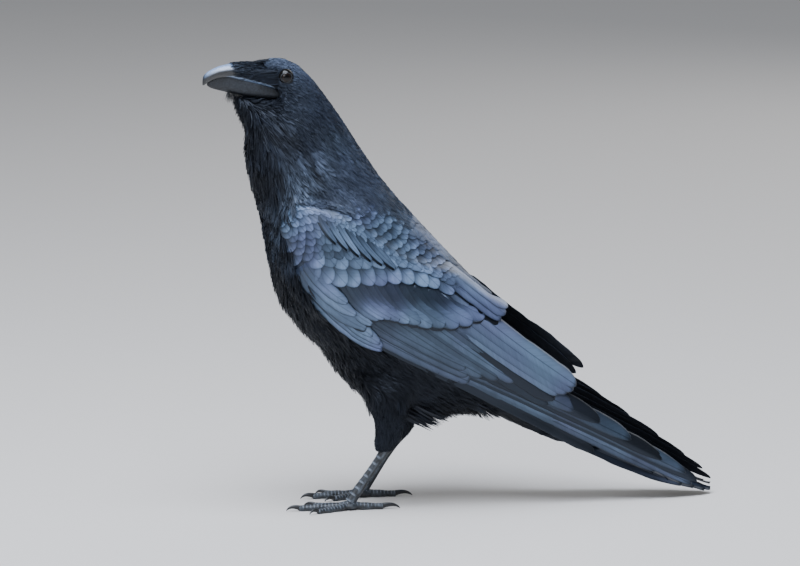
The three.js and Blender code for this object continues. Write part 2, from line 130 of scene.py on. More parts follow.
def newMesh(name, points, faces):
    # Faces are rows of three or four vertex numbers.
    mesh = bpy.data.meshes.new(name)
    mesh.vertices.add(len(points))
    mesh.vertices.foreach_set("co", np.ascontiguousarray(points, np.float32).ravel())
    corners = np.concatenate([np.asarray(f, np.int32).ravel() for f in faces])
    sizes = np.concatenate([np.full(len(f), np.shape(f)[1], np.int32) for f in faces])
    mesh.loops.add(len(corners))
    mesh.loops.foreach_set("vertex_index", corners)
    mesh.polygons.add(len(sizes))
    mesh.polygons.foreach_set("loop_start", np.concatenate([[0], np.cumsum(sizes)[:-1]]).astype(np.int32))
    mesh.polygons.foreach_set("loop_total", sizes)
    mesh.update(calc_edges=True)
    mesh.shade_smooth()
    piece = bpy.data.objects.new(name, mesh)
    bpy.context.collection.objects.link(piece)
    return piece, corners


def numbersOf(items, key, width):
    values = np.empty(len(items) * width)
    items.foreach_get(key, values)
    return values.reshape(-1, width)


def cornersOf(mesh):
    # The vertex numbers of a mesh of quads.
    corners = np.empty(len(mesh.loops), np.int32)
    mesh.loops.foreach_get("vertex_index", corners)
    return corners.reshape(-1, 4)


def paint(piece, name, values, width=1):
    # An attribute on a piece's vertices.
    kind, key = ("FLOAT_VECTOR", "vector") if width == 3 else ("FLOAT", "value")
    attribute = piece.data.attributes.new(name, kind, "POINT")
    attribute.data.foreach_set(key, np.asarray(values, np.float32).ravel())


def uvMap(piece, name, values):
    piece.data.uv_layers.new(name=name).data.foreach_set("uv", values.astype(np.float32).ravel())


def editWhole(piece, tool, **settings):
    bpy.ops.object.select_all(action="DESELECT")
    piece.select_set(True)
    bpy.context.view_layer.objects.active = piece
    bpy.ops.object.mode_set(mode="EDIT")
    bpy.ops.mesh.select_all(action="SELECT")
    tool(**settings)
    bpy.ops.object.mode_set(mode="OBJECT")


def copyOf(name, parts):
    # One object with merged copies of CAD solids.
    bpy.ops.object.select_all(action="DESELECT")
    for part in parts:
        copy = nodes[part].copy()
        copy.data = nodes[part].data.copy()
        copy.parent = None
        bpy.context.collection.objects.link(copy)
        copy.select_set(True)
        bpy.context.view_layer.objects.active = copy
    bpy.ops.object.join()
    made = bpy.context.object
    made.name = name
    for key in list(made.keys()):
        del made[key]
    editWhole(made, bpy.ops.mesh.remove_doubles, threshold=1e-6)
    return made


def ball(name, place, scale, segments, rings):
    bpy.ops.object.select_all(action="DESELECT")
    bpy.ops.mesh.primitive_uv_sphere_add(segments=segments, ring_count=rings, radius=1.0,
                                         location=tuple(np.asarray(place) * mm))
    made = bpy.context.object
    made.name = name
    made.scale = tuple(size * mm for size in scale)
    bpy.ops.object.transform_apply(location=True, rotation=True, scale=True)
    bpy.ops.object.shade_smooth()
    return made


def applyModifier(piece, kind, **settings):
    bpy.context.view_layer.objects.active = piece
    modifier = piece.modifiers.new(kind.title(), kind)
    for key, value in settings.items():
        setattr(modifier, key, value)
    bpy.ops.object.modifier_apply(modifier=modifier.name)


def treeOf(names):
    points, faces = [], []
    for name in names:
        mesh = nodes[name].data
        start = len(points)
        points += [v.co.copy() for v in mesh.vertices]
        faces += [[start + i for i in p.vertices] for p in mesh.polygons]
    return BVHTree.FromPolygons(points, faces)


# The camera stands far off with a long lens, on the bird's left and a little above it.
view = {"azimuth": -10, "elevation": 8, "distance": 7.0, "lens": 350, "target": (-0.0535, 0.0, 0.200)}
azimuth, elevation = math.radians(view["azimuth"]), math.radians(view["elevation"])
backwards = Vector((math.sin(azimuth) * math.cos(elevation), -math.cos(azimuth) * math.cos(elevation),
                    math.sin(elevation)))
bpy.ops.object.camera_add(location=Vector(view["target"]) + backwards * view["distance"])
camera = bpy.context.object
camera.rotation_euler = (-backwards).to_track_quat("-Z", "Y").to_euler()
camera.data.lens = view["lens"]
camera.data.clip_end = 60
bpy.context.scene.camera = camera

# Large soft boxes: overhead, from behind the camera, and a weak one behind the bird.
softBoxes = {
    "Overhead": {"place": (-0.5, -0.7, 2.6), "size": 2.2, "power": 165, "tint": "#e6efff"},
    "Front": {"place": (-1.9, -3.0, 1.9), "size": 1.8, "power": 46, "tint": "#f2f7ff"},
    "Behind": {"place": (1.8, 2.4, 1.6), "size": 2.0, "power": 20, "tint": "#ffffff"},
}
for name, box in softBoxes.items():
    place = Vector(box["place"])
    aim = (Vector(view["target"]) - place).to_track_quat("-Z", "Y").to_euler()
    bpy.ops.object.light_add(type="AREA", location=place, rotation=aim)
    light = bpy.context.object
    light.name = name
    light.data.size = box["size"]
    light.data.energy = box["power"]
    light.data.color = linear(box["tint"])[:3]

room = {"tint": "#dfe5ee", "strength": 0.34, "paper": "#d6d1cb", "floor": 14}
world = bpy.data.worlds.new("Studio")
bpy.context.scene.world = world
world.use_nodes = True
world.node_tree.nodes["Background"].inputs["Color"].default_value = linear(room["tint"])
world.node_tree.nodes["Background"].inputs["Strength"].default_value = room["strength"]

# Plain seamless studio paper, matt.
paper, _, _ = newMaterial("Studio paper", Base_Color=linear(room["paper"]), Roughness=0.9)
bpy.ops.mesh.primitive_plane_add(size=room["floor"], location=(0, 0, 0))
floor = bpy.context.object
floor.name = "Floor"
floor.data.materials.append(paper)
print("camera, light and floor")


# What all feathers share: noise along the barbs and from barb to barb, fine and broad, how many clouds of
# painted sheen and casts of its colour there are to a metre, and in metres where the shaft ends across the
# vane and its relief.
weave = {"fine": (90, 1500, 1), "broad": (60, 260, 1), "seeds": 50.0, "cloud": 34.0, "cast": 19.0,
         "shaft": (0.0002, 0.0006), "relief": 0.0002}


def plumage(name, look):
    # Feathers: black keratin barbs lying side by side, with a blue-grey sheen where a vane is whole, painted
    # into the colour as a painted reflection, and a soft matt black where it is loose. The attribute look
    # holds the painted sheen, nearness to the vane's edge and a chance number for each feather.
    material, shader, add = newMaterial(
        name, Roughness=look["rough"], Specular_IOR_Level=look["specular"],
        Specular_Tint=linear(look["sheen"]), Sheen_Weight=look["velvet"], Sheen_Roughness=0.45,
        Sheen_Tint=linear(look["sheen"]))
    given = add("SeparateXYZ", {"Vector": add("Attribute", out="Vector", attribute_name="look")}, None)
    vane = add("SeparateXYZ", {"Vector": add("UVMap", uv_map="Vane")}, None)
    off = add("Math", {0: vane["X"]}, operation="ABSOLUTE")
    # the place where a barb leaves the shaft stays the same along the barb
    reach = add("Math", {0: off, 1: look["slant"]}, operation="MULTIPLY")
    barb = add("Math", {0: vane["Y"], 1: reach}, operation="SUBTRACT")
    seed = add("Math", {0: given["Z"], 1: weave["seeds"]}, operation="MULTIPLY")
    lie = add("CombineXYZ", {"X": off, "Y": barb, "Z": seed})
    noises = []
    for key in ("fine", "broad"):
        drawn = add("Mapping", {"Vector": lie, "Scale": weave[key]})
        noises.append(add("TexNoise", {"Vector": drawn, "Scale": 1.0, "Detail": 2.0}))
    fine, broad = noises
    place = add("TexCoord", out="Object")
    # painted sheen: blue-grey over the black, coming and going in clouds and turning violet in casts
    cloud = add("TexNoise", {"Vector": place, "Scale": weave["cloud"], "Detail": 2.0})
    cloud = add("MapRange", {0: cloud, 1: 0.3, 2: 0.7, 3: 1 - look["cloud"], 4: 1 + look["cloud"]})
    shine = add("Math", {0: cloud, 1: given["X"]}, operation="MULTIPLY", use_clamp=True)
    cast = add("TexNoise", {"Vector": place, "Scale": weave["cast"], "Detail": 1.0})
    cast = add("MapRange", {0: cast, 1: 0.4, 2: 0.62}, clamp=True)
    cast = add("Mix", {0: cast, 6: linear(look["gloss"]), 7: linear(look["violet"])}, 2, data_type="RGBA")
    ground = add("Mix", {0: shine, 6: linear(look["black"]), 7: cast}, 2, data_type="RGBA")
    # streaks of barbs, the dark shaft, the dark edge and chance from feather to feather
    spread = {1: look["streak"], 2: 1 - look["streak"] / 2}
    factor = add("Math", {0: broad, **spread}, operation="MULTIPLY_ADD")
    hair = add("Math", {0: fine, **spread}, operation="MULTIPLY_ADD")
    shaft = add("MapRange", {0: off, 1: weave["shaft"][0], 2: weave["shaft"][1], 3: look["shaft"], 4: 1.0})
    # the dark edge is partly the vane's own darker rim and partly a painted shadow line along it
    edge = add("MapRange", {0: given["Y"], 1: 0.0, 2: 1.0, 3: 1.0, 4: look["edge"]})
    tone = add("MapRange", {0: given["Z"], 3: 1 - look["chance"], 4: 1 + look["chance"]})
    for part in (hair, shaft, edge, tone):
        factor = add("Math", {0: factor, 1: part}, operation="MULTIPLY")
    colour = add("VectorMath", {0: ground, "Scale": factor}, operation="SCALE")
    bump = add("Bump", {"Height": fine, "Strength": look["bump"], "Distance": weave["relief"]})
    feed(shader, Base_Color=colour, Normal=bump)
    return material


bodyFeather = plumage("Body feather", {
    "black": "#0a0a0d", "gloss": "#4f5a6b", "violet": "#505a70", "sheen": "#ccdaf0", "rough": 0.48,
    "specular": 0.34, "velvet": 0.04, "slant": 1.6, "streak": 0.5, "shaft": 0.85, "edge": 0.7, "chance": 0.24,
    "cloud": 0.4, "bump": 0.35})
covertFeather = plumage("Covert feather", {
    "black": "#08090c", "gloss": "#627690", "violet": "#626d90", "sheen": "#c8daf4", "rough": 0.34,
    "specular": 0.6, "velvet": 0.05, "slant": 1.3, "streak": 0.5, "shaft": 0.7, "edge": 0.14, "chance": 0.34,
    "cloud": 0.42, "bump": 0.4})
flightFeather = plumage("Flight feather", {
    "black": "#08090c", "gloss": "#5f7289", "violet": "#5e6884", "sheen": "#c8daf4", "rough": 0.33,
    "specular": 0.6, "velvet": 0.04, "slant": 1.3, "streak": 0.45, "shaft": 0.4, "edge": 0.14, "chance": 0.34,
    "cloud": 0.35, "bump": 0.35})
flightUnderside = plumage("Flight feather underside", {
    "black": "#111216", "gloss": "#24272d", "violet": "#24272d", "sheen": "#c8d2e0", "rough": 0.6,
    "specular": 0.25, "velvet": 0.03, "slant": 1.3, "streak": 0.4, "shaft": 1.3, "edge": 0.8, "chance": 0.2,
    "cloud": 0.2, "bump": 0.3})


# Vanes are sheets of n by m vertices, gathered here into pieces.
gathered = {}
# the size on the bake map of a small sheet, and the fewest share of its width that a vane keeps at its end
bakeCell, bluntest = 0.003, 0.04
# the line through head, neck and trunk that the skin's unwrap goes round, x and z
bodyAxis = np.array([(-214, 388), (-180, 374), (-158, 345), (-140, 305), (-112, 255), (-84, 200), (-50, 155),
                     (0, 125), (60, 90), (128, 52)]) / 1000


def unwrapped(points):
    # Where a point of the skin lies on its unwrap: the angle round the body's axis and how far along it.
    flat = points[:, [0, 2]]
    best = np.full(len(flat), 1e9)
    u, v = np.zeros(len(flat)), np.zeros(len(flat))
    last = len(bodyAxis) - 1
    for i in range(last):
        way = bodyAxis[i + 1] - bodyAxis[i]
        length = np.linalg.norm(way)
        t = np.clip((flat - bodyAxis[i]) @ way / length ** 2, 0, 1)
        rel = flat - (bodyAxis[i] + t[:, None] * way)
        away = (rel ** 2).sum(1)
        near = away < best
        best = np.where(near, away, best)
        over = rel @ np.array([-way[1], way[0]]) / length
        u = np.where(near, np.arctan2(points[:, 1], over) / (2 * math.pi) + 0.5, u)
        v = np.where(near, (i + t) / last, v)
    return np.stack([0.01 + 0.98 * u, 0.01 + 0.975 * v], -1)


def gather(piece, points, vane, look, patch=None, flip=False):
    # points (N, n, m, 3), vane (N, n, m, 2) across and along in metres, look (N, n, m, 3).
    # patch: the corner and size on the bake map of each sheet, or None for a small one at its root.
    count, n, m = points.shape[:3]
    if patch is None:
        roots = unwrapped(points[:, 0, m // 2])
        patch = np.concatenate([roots - bakeCell / 2, np.full((count, 2), bakeCell)], 1)
    across, down = np.meshgrid(np.linspace(0, 1, m), np.linspace(0, 1, n))
    square = np.stack([across, down], -1)[None]
    bake = patch[:, None, None, :2] + square * patch[:, None, None, 2:]
    corner = (np.arange(count)[:, None, None] * n * m + np.arange(n - 1)[:, None] * m + np.arange(m - 1))
    faces = np.stack([corner, corner + 1, corner + m + 1, corner + m], -1).reshape(-1, 4)
    empty = {"count": 0, "faces": [], "points": [], "vane": [], "look": [], "bake": []}
    entry = gathered.setdefault(piece, empty)
    entry["faces"].append((faces[:, ::-1] if flip else faces) + entry["count"])
    entry["count"] += count * n * m
    for key, values in (("points", points), ("vane", vane), ("look", look), ("bake", bake)):
        entry[key].append(values.reshape(-1, values.shape[-1]))


def buildPiece(piece, material, replaced=(), thick=0.0):
    points, faces, vane, look, bake = (np.concatenate(gathered[piece][key])
                                       for key in ("points", "faces", "vane", "look", "bake"))
    made, corners = newMesh(piece, points, [faces])
    uvMap(made, "Vane", vane[corners])
    uvMap(made, "OFBake", bake[corners])
    paint(made, "look", look, 3)
    placePiece(made, material, replaced)
    if thick:
        # the inner side is duller than the outer one
        made.data.materials.append(flightUnderside)
        applyModifier(made, "SOLIDIFY", thickness=thick, offset=-1.0, material_offset=1)
    print(piece, len(made.data.polygons) * 2, "triangles")


def vaneRows(n, crowd=1.6):
    # Fractions along a vane, closer together at its tip.
    return 1 - (1 - np.linspace(0, 1, n)) ** crowd


def vaneOutline(t, tip, power=2.2, base=0.12):
    # The share of the full width along a vane that closes over its last part.
    closing = np.clip((t - (1 - tip)) / tip, 0, 1)
    opening = 0.35 + 0.65 * smoothstep(0, base, t)
    return np.maximum(opening * np.sqrt(np.maximum(1 - closing ** power, 0)), bluntest)


def blur(grid, rounds):
    for _ in range(rounds):
        padded = np.pad(grid, 1, mode="edge")
        grid = (padded[:-2, 1:-1] + padded[2:, 1:-1] + padded[1:-1, :-2] + padded[1:-1, 2:] + 4 * grid) / 8
    return grid


def heightField(names, tilt, low, high, smooth, step=0.003):
    # Heights of CAD solids seen from the left and tilt degrees above: u runs along X, v up across the
    # line of sight, and the height towards the eye.
    tree = treeOf(names)
    angle = math.radians(tilt)
    up = Vector((0, math.sin(angle), math.cos(angle)))
    eye = Vector((0, -math.cos(angle), math.sin(angle)))
    us, vs = np.arange(low[0], high[0], step), np.arange(low[1], high[1], step)
    grid = np.full((len(us), len(vs)), np.nan)
    for (i, u), (j, v) in product(enumerate(us), enumerate(vs)):
        spot = tree.ray_cast(Vector((u, 0, 0)) + up * v + eye * 0.8, -eye)[0]
        if spot is not None:
            grid[i, j] = spot.dot(eye)
    known = ~np.isnan(grid)
    filled = np.where(known, grid, 0)
    weight = known.astype(float)
    while (weight == 0).any():
        total, share = blur(filled * weight, 1), blur(weight, 1)
        fresh = (weight == 0) & (share > 0)
        filled = np.where(fresh, total / np.maximum(share, 1e-9), filled)
        weight = np.where(fresh, 1.0, weight)
    return {"tree": tree, "up": np.array(up), "eye": np.array(eye), "low": low, "step": step,
            "grid": blur(filled, smooth)}


def heightAt(field, u, v):
    grid = field["grid"]
    a = np.clip((u - field["low"][0]) / field["step"], 0, grid.shape[0] - 1.001)
    b = np.clip((v - field["low"][1]) / field["step"], 0, grid.shape[1] - 1.001)
    i, j = a.astype(int), b.astype(int)
    a, b = a - i, b - j
    return ((grid[i, j] * (1 - a) + grid[i + 1, j] * a) * (1 - b)
            + (grid[i, j + 1] * (1 - a) + grid[i + 1, j + 1] * a) * b)


def pinned(field, places):
    # Layout points, (x, z) seen from the side in millimetres, laid on a field.
    found = []
    for x, z in places:
        start, way = Vector((x * mm, -0.3, z * mm)), Vector((0, 1, 0))
        spot = field["tree"].ray_cast(start, way)[0]
        if spot is None:
            spot = field["tree"].find_nearest(start + way * 0.28)[0]
            spot.x, spot.z = x * mm, z * mm
        spot = np.array(spot)
        found.append((spot[0], spot @ field["up"]))
    return np.array(found)


# where a notched vane narrows, and how its edges wave: share of the width, and waves in radians along it
narrowing = (0.55, 0.68)
edgeWave = {"slow": (0.03, 23), "fast": (0.02, 51), "shift": 900}
shaftRidge = {"half": 0.02, "high": 0.1, "fade": 0.7}


def layVanes(piece, field, roots, tips, shape, right=False, patch=None):
    # Vanes laid on a field. shape holds, for each feather or for all, in millimetres: bow, outer, inner,
    # root and end heights, roll and crown, and: rise, tip and power (how it rises and closes), notch, painted
    # sheen, rim, shade and deep (how dark its edge is, and the painted shade at its root), rows, columns.
    count = len(roots)
    each = reader(shape, count)
    t = vaneRows(shape.get("rows", 14))[None]
    way = tips - roots
    length = np.linalg.norm(way, axis=1)[:, None]
    side = np.stack([way[:, 1], -way[:, 0]], -1) / length
    bow = each("bow") * mm * 4 * t * (1 - t)
    centre = roots[:, None] + way[:, None] * t[..., None] + side[:, None] * bow[..., None]
    tangent = np.gradient(centre, axis=1)
    tangent /= np.linalg.norm(tangent, axis=-1, keepdims=True)
    side = np.stack([tangent[..., 1], -tangent[..., 0]], -1)
    columns = np.array(shape.get("columns", (-1, -0.82, -0.5, -0.22, -0.04, 0, 0.04, 0.22, 0.5, 0.82, 1)))
    grow = vaneOutline(t, each("tip", 0.2), shape.get("power", 2.2))
    # primaries narrow towards their tips, and no edge runs quite straight
    narrow = 1 - each("notch") * smoothstep(*narrowing, t)
    wave = 1 + edgeWave["slow"][0] * np.sin(t * edgeWave["slow"][1] + rng.uniform(0, 6, (count, 1)))
    wave = wave + edgeWave["fast"][0] * np.sin(t * edgeWave["fast"][1] + length * edgeWave["shift"])
    outer = (each("outer", 5) * mm * grow * narrow * wave)[..., None]
    inner = (each("inner", 5) * mm * grow * wave)[..., None]
    offset = np.where(columns > 0, outer, inner) * columns
    spread = centre[:, :, None] + side[:, :, None] * offset[..., None]
    u, v = spread[..., 0], spread[..., 1]
    # the field's height and slope below the vane
    h, e = heightAt(field, u, v), field["step"]
    hu = (heightAt(field, u + e, v) - heightAt(field, u - e, v)) / (2 * e)
    hv = (heightAt(field, u, v + e) - heightAt(field, u, v - e)) / (2 * e)
    across, up, eye = np.array([1.0, 0, 0]), field["up"], field["eye"]
    points = u[..., None] * across + v[..., None] * up + h[..., None] * eye
    normal = unit(eye - hu[..., None] * across - hv[..., None] * up)
    lift = each("root", -1.5) + (each("end", 0.5) - each("root", -1.5)) * t ** each("rise", 1.0)
    roll = each("roll") + rng.normal(0, 0.06, (count, 1))
    lift = lift[..., None] + roll[..., None] * columns
    lift = lift + each("crown", 0.4)[..., None] * (1 - columns ** 2) * (grow ** 0.5)[..., None]
    onShaft = np.abs(columns) < shaftRidge["half"]
    lift = lift + shaftRidge["high"] * onShaft * (1 - shaftRidge["fade"] * t[..., None])
    points = points + normal * lift[..., None] * mm
    # darker at the rim and end: partly the vane's own darker edge, partly a painted shadow line
    edge = np.maximum(np.abs(columns) ** shape.get("rim", 5), smoothstep(0.965, 1.0, t)[..., None])
    # painted shade: each vane's root, under the feather above, gets less painted sheen, down to the share deep
    paintedRootShade = smoothstep(*shape.get("shade", (0, 0.35)), t)[..., None]
    deep = shape.get("deep", 0.3)
    gloss = each("gloss", 0.7)[..., None] * (deep + (1 - deep) * paintedRootShade)
    look = stacked(gloss, edge, rng.random((count, 1, 1)) + 0 * offset)
    vane = stacked(offset, (t * length)[..., None])
    if right:
        points = points * np.array([1, -1, 1])
    gather(piece, points, vane, look, patch, flip=right)


wingSolids = ["wing_l_coverts", "wing_l_secondaries", "wing_l_primaries"]
flightField = heightField(wingSolids, 6, (-0.19, -0.02), (0.25, 0.30), 5)
covertField = heightField(wingSolids + ["trunk", "neck"], 30, (-0.19, -0.06), (0.13, 0.30), 12)
tailField = heightField(["tail"], 90, (0.02, -0.045), (0.245, 0.045), 3)
print("surfaces for the large feathers")

# Wings: layouts are seen from the left, x and z in millimetres, from the wing's tip side to its shoulder side.
# Each feather lies over the next one towards the wing's tip.

primaries = {
    "roots": [(-96, 160), (-95, 162), (-94, 164), (-92, 166), (-89, 168), (-86, 170), (-83, 172), (-80, 174),
              (-76, 176), (-72, 178)],
    "tips": [(119, 46), (178, 25), (213, 11), (218, 13.5), (207, 22), (184, 36), (154, 56), (124, 74),
             (99, 86), (74, 93)],
    "outer": [4.5, 4.2, 4.4, 4.8, 5, 5.2, 5.6, 6, 6.2, 6.4],
    "inner": [8, 8.5, 9, 9.5, 10, 10.5, 11, 11, 11, 11],
    "notch": [0, 0.06, 0.1, 0.1, 0.1, 0.05, 0, 0, 0, 0], "bow": -1.5, "tip": 0.13, "power": 2, "roll": 0.3,
    "root": np.linspace(-3.2, -2.3, 10), "end": np.linspace(-1.4, -0.5, 10), "rows": 26,
    # painted sheen of each; the near-black ones are painted shade, for primaries whose side lies in shadow
    "gloss": [0.0, 0.42, 0.5, 0.04, 0.38, 0.0, 0.3, 0.02, 0.25, 0.05],
}
secondaries = {
    "roots": [(-104, 170), (-98, 175), (-92, 180), (-84, 185), (-74, 190), (-64, 193), (-54, 197), (-44, 200),
              (-33, 202), (-23, 205)],
    "tips": [(0, 117), (-1, 123), (-3, 130), (12, 122), (27, 119), (42, 116), (56, 113.5), (69, 111),
             (81, 109), (92, 108)],
    "outer": [5, 5, 5.2, 5.6, 6, 6.2, 6.4, 6.6, 6.8, 7], "inner": [10, 10, 10, 11, 11.5, 12, 12, 12, 12, 12],
    "bow": 2, "tip": 0.1, "power": 2.6, "roll": 0.3, "root": np.linspace(-2.2, -1.5, 10),
    "end": np.linspace(-0.7, -0.1, 10), "rows": 20,
    "gloss": [0.45, 0.3, 0.45, 0.5, 0.2, 0.5, 0.3, 0.5, 0.45, 0.5],
}
tertials = {
    "roots": [(-40, 186), (-36, 189), (-31, 195), (-26, 200), (-20, 204)],
    "tips": [(80, 97.5), (84, 102), (92, 102.5), (98, 104), (101, 107.5)],
    "outer": [8, 7.5, 8, 8.5, 7.5], "inner": [11, 11, 11, 11, 10], "bow": 3, "tip": 0.16, "power": 2.2,
    "roll": 0.35, "crown": 0.8, "root": [-2.3, -2.2, -1.9, -1.6, -1.3], "end": [0.0, 0.15, 0.4, 0.65, 0.9],
    # painted shadow: the first tertial is left black for the unlit gap below the others
    "rows": 20, "gloss": [0.0, 1.35, 1.35, 1.35, 1.35],
}
# the right wing is held a little higher, so that it shows behind the left one
rightPrimaries = dict(primaries, tip=0.3, power=1.6,
                      tips=[(142, 43), (188, 26), (222, 14), (236, 12), (228, 22), (212, 34), (188, 52),
                            (162, 70), (138, 86), (116, 98)])
rightTertials = dict(tertials, tip=0.34, power=1.5,
                     roots=[(-18, 185), (-14, 188), (-8, 194), (-2, 200), (5, 204)],
                     tips=[(88, 100), (96, 103), (106, 105), (113, 109), (119, 115)])
greaterCoverts = {
    "roots": [(-130, 206), (-125, 210), (-119, 214), (-114, 215), (-108, 216), (-101, 216), (-93, 216),
              (-84, 216), (-74, 215), (-62, 213), (-49, 210), (-35, 207), (-22, 204)],
    "tips": [(-95, 168), (-90, 172.5), (-84, 177), (-79, 178), (-73, 178), (-65, 176.5), (-56, 174.5),
             (-46, 172.5), (-35, 170.5), (-23, 169.5), (-10, 170), (3, 172), (15, 176)],
    "outer": [4, 4, 4, 4.2, 4.6, 5, 5.6, 6.4, 7.4, 8.2, 8.8, 9, 9],
    "inner": [6, 6, 6, 6, 6.5, 7, 7.5, 8, 9, 10, 10, 10, 10],
    "bow": [4, 4.5, 5, 5, 5, 5, 5.5, 6, 6, 6, 5.5, 5, 4], "tip": 0.22, "roll": 0.35, "crown": 0.35,
    "root": -1.7, "end": 0.5, "rows": 18, "gloss": 0.75, "shade": (0.3, 0.85), "deep": 0.15,
}
primaryCoverts = {
    "roots": [(-152, 210), (-149, 213), (-146, 216), (-143, 219)],
    "tips": [(-80, 147), (-79.5, 149.5), (-82, 154), (-89, 161)],
    "outer": [6.5, 6.5, 6, 6], "inner": [8, 8, 8, 8], "bow": [5, 4.5, 4, 3.5], "tip": 0.3, "power": 1.6,
    "roll": 0.25, "crown": 0.25, "root": -1.6, "end": 0.0, "rows": 18, "gloss": 0.72, "shade": (0.1, 0.6),
}
alula = {
    "roots": [(-155, 222), (-152, 225), (-149, 228)], "tips": [(-97, 169), (-104, 181), (-112, 192)],
    "outer": [5.5, 5.5, 5], "inner": [7, 6.5, 6], "bow": [6, 4.5, 3.5], "tip": 0.28, "power": 1.7,
    "roll": 0.25, "crown": 0.25, "root": -0.6, "end": 0.5, "rows": 18, "gloss": 0.75, "shade": (0.1, 0.6),
}
# long feathers over the wing's root; the first, black, is a painted shadow for the dark slit below them
longScapulars = {
    "roots": [(-36, 219), (-34, 222), (-28, 225), (-22, 227)],
    "tips": [(27, 167.5), (29.5, 171), (34.5, 174), (38, 179)],
    "outer": [6, 6, 8, 8], "inner": [7, 8, 9, 9], "bow": [-1, 0, 1, 2], "tip": 0.16, "roll": 0.1,
    "crown": 0.2, "root": -1.0, "end": [0.3, 1.9, 2.2, 2.5], "rows": 16, "gloss": [0, 0.8, 0.7, 0.7],
}
# narrow scapulars that stand apart like fingers along the lower edge
fingers = {
    "roots": [(-137, 272), (-130, 270), (-122, 267), (-114, 263), (-105, 258), (-96, 253)],
    "tips": [(-122, 247), (-112, 241), (-101.5, 235.5), (-91, 231), (-80.5, 227), (-69.5, 223)],
    "outer": [2.4, 2.5, 2.7, 2.9, 3.2, 3.5], "inner": [2.6, 2.8, 3, 3.2, 3.5, 3.8],
    "bow": [1.2, 1.4, 1.5, 1.5, 1.4, 1.2], "tip": 0.6, "power": 1.6, "roll": 0.5, "crown": 0.25, "root": -0.3,
    "end": 1.7, "rows": 14, "gloss": 0.68, "shade": (0.1, 0.6),
}
# Small coverts in rows between a lower and an upper line: how many rows, how far apart the feathers are on
# the lowest and highest row, and the way they point at each end.
closeColumns = (-1, -0.87, -0.6, -0.25, 0, 0.25, 0.6, 0.87, 1)
medianCoverts = {
    "low": [(-137, 215), (-124, 212), (-110, 209), (-84, 210), (-48, 209), (-22, 202), (-4, 191)],
    "high": [(-140, 227), (-126, 227), (-112, 224), (-84, 224), (-52, 223), (-26, 214), (-8, 203)],
    "lines": 2, "spacing": (12, 11), "ways": [(0.62, -0.78), (0.78, -0.62)], "tip": 0.5, "power": 1.9,
    "roll": 0.1, "crown": 0.15, "root": -1.3, "end": 0.35, "rim": 8, "columns": closeColumns, "rows": 11,
    "gloss": 1.15, "shade": (0.5, 0.95), "deep": 0.15,
}
lesserCoverts = {
    "low": [(-153, 229), (-130, 233), (-104, 232), (-76, 231), (-48, 224)],
    "high": [(-168, 264), (-160, 271), (-150, 276), (-142, 276), (-134, 273)],
    "lines": 8, "spacing": (8.5, 4.2), "ways": [(0.45, -0.89), (0.75, -0.66)], "tip": 0.6, "power": 1.8,
    "roll": 0.06, "crown": 0.1, "root": -0.9, "end": 0.25, "rim": 7, "columns": closeColumns, "rows": 9,
    # painted highlight: the upper rows get more painted sheen
    "gloss": 0.62, "paintedSheenUp": 0.7, "shade": (0.45, 1.0), "deep": 0.2,
}
scapulars = {
    "low": [(-128, 262), (-113, 255), (-90, 243), (-64, 228), (-36, 217), (-10, 204), (2, 196)],
    "high": [(-112, 276), (-98, 278), (-78, 274), (-62, 262), (-46, 250), (-28, 236), (-10, 222)],
    "lines": 8, "spacing": (11, 7.5), "ways": [(0.8, -0.6), (0.78, -0.62)], "tip": 0.55, "power": 1.8,
    "roll": 0.06, "crown": 0.12, "root": -0.7, "end": 0.4, "rim": 8, "columns": closeColumns, "rows": 11,
    "gloss": 0.78, "shade": (0.45, 1.0), "deep": 0.2,
}


def layGroup(piece, field, group, right, patch=None):
    layVanes(piece, field, pinned(field, group["roots"]), pinned(field, group["tips"]), group, right, patch)


# Small coverts: their length as a share of the rows' distance and its limits, their width as a share of the
# gap and of the length, inner width and bow, and chance along the row, at the tip and in the way they point.
small = {"overlap": 2.5, "shortest": 9, "longest": 34, "wide": 0.72, "slim": 0.42, "inner": 1.05, "bow": 0.03,
         "along": 0.08, "tip": 0.35, "way": 0.05}


def layRows(piece, field, group, right):
    # Each row lies over the one below it.
    low, high = pinned(field, group["low"]), pinned(field, group["high"])
    lines, spacing, ways = group["lines"], group["spacing"], group["ways"]
    for k in range(lines):
        share = k / (lines - 1)
        line = along(low, np.linspace(0, 1, 40)) * (1 - share) + along(high, np.linspace(0, 1, 40)) * share
        reach = np.linalg.norm(np.diff(line, axis=0), axis=1).sum()
        gap = (spacing[0] * (1 - share) + spacing[1] * share) * mm
        count = max(int(reach / gap), 2)
        # every other row is shifted by half a feather
        at = (np.arange(count) + k % 2 / 2 + rng.normal(0, small["along"], count)) / count
        tips = along(line, at) + rng.normal(0, small["tip"] * mm, (count, 2))
        pitch = np.linalg.norm(along(low, at) - along(high, at), axis=1) / (lines - 1)
        way = np.outer(1 - at, ways[0]) + np.outer(at, ways[1])
        way = unit(way + rng.normal(0, small["way"], (count, 2)))
        length = np.clip(pitch * small["overlap"], small["shortest"] * mm, small["longest"] * mm)
        wide = np.minimum(gap * small["wide"] / mm, length / mm * small["slim"])
        layVanes(piece, field, tips - way * length[:, None], tips,
                 dict(group, outer=wide, inner=wide * small["inner"], bow=length / mm * small["bow"],
                      gloss=group["gloss"] * (1 + group.get("paintedSheenUp", 0) * share)), right)


def dark(group, shift, **changes):
    # Painted shadow in the unlit gaps beside feathers that stand apart: black vanes just below them.
    moved = {key: [(x + shift[0], z + shift[1]) for x, z in group[key]] for key in ("roots", "tips")}
    return {**group, "gloss": 0.0, "crown": 0.4, **moved, **changes}


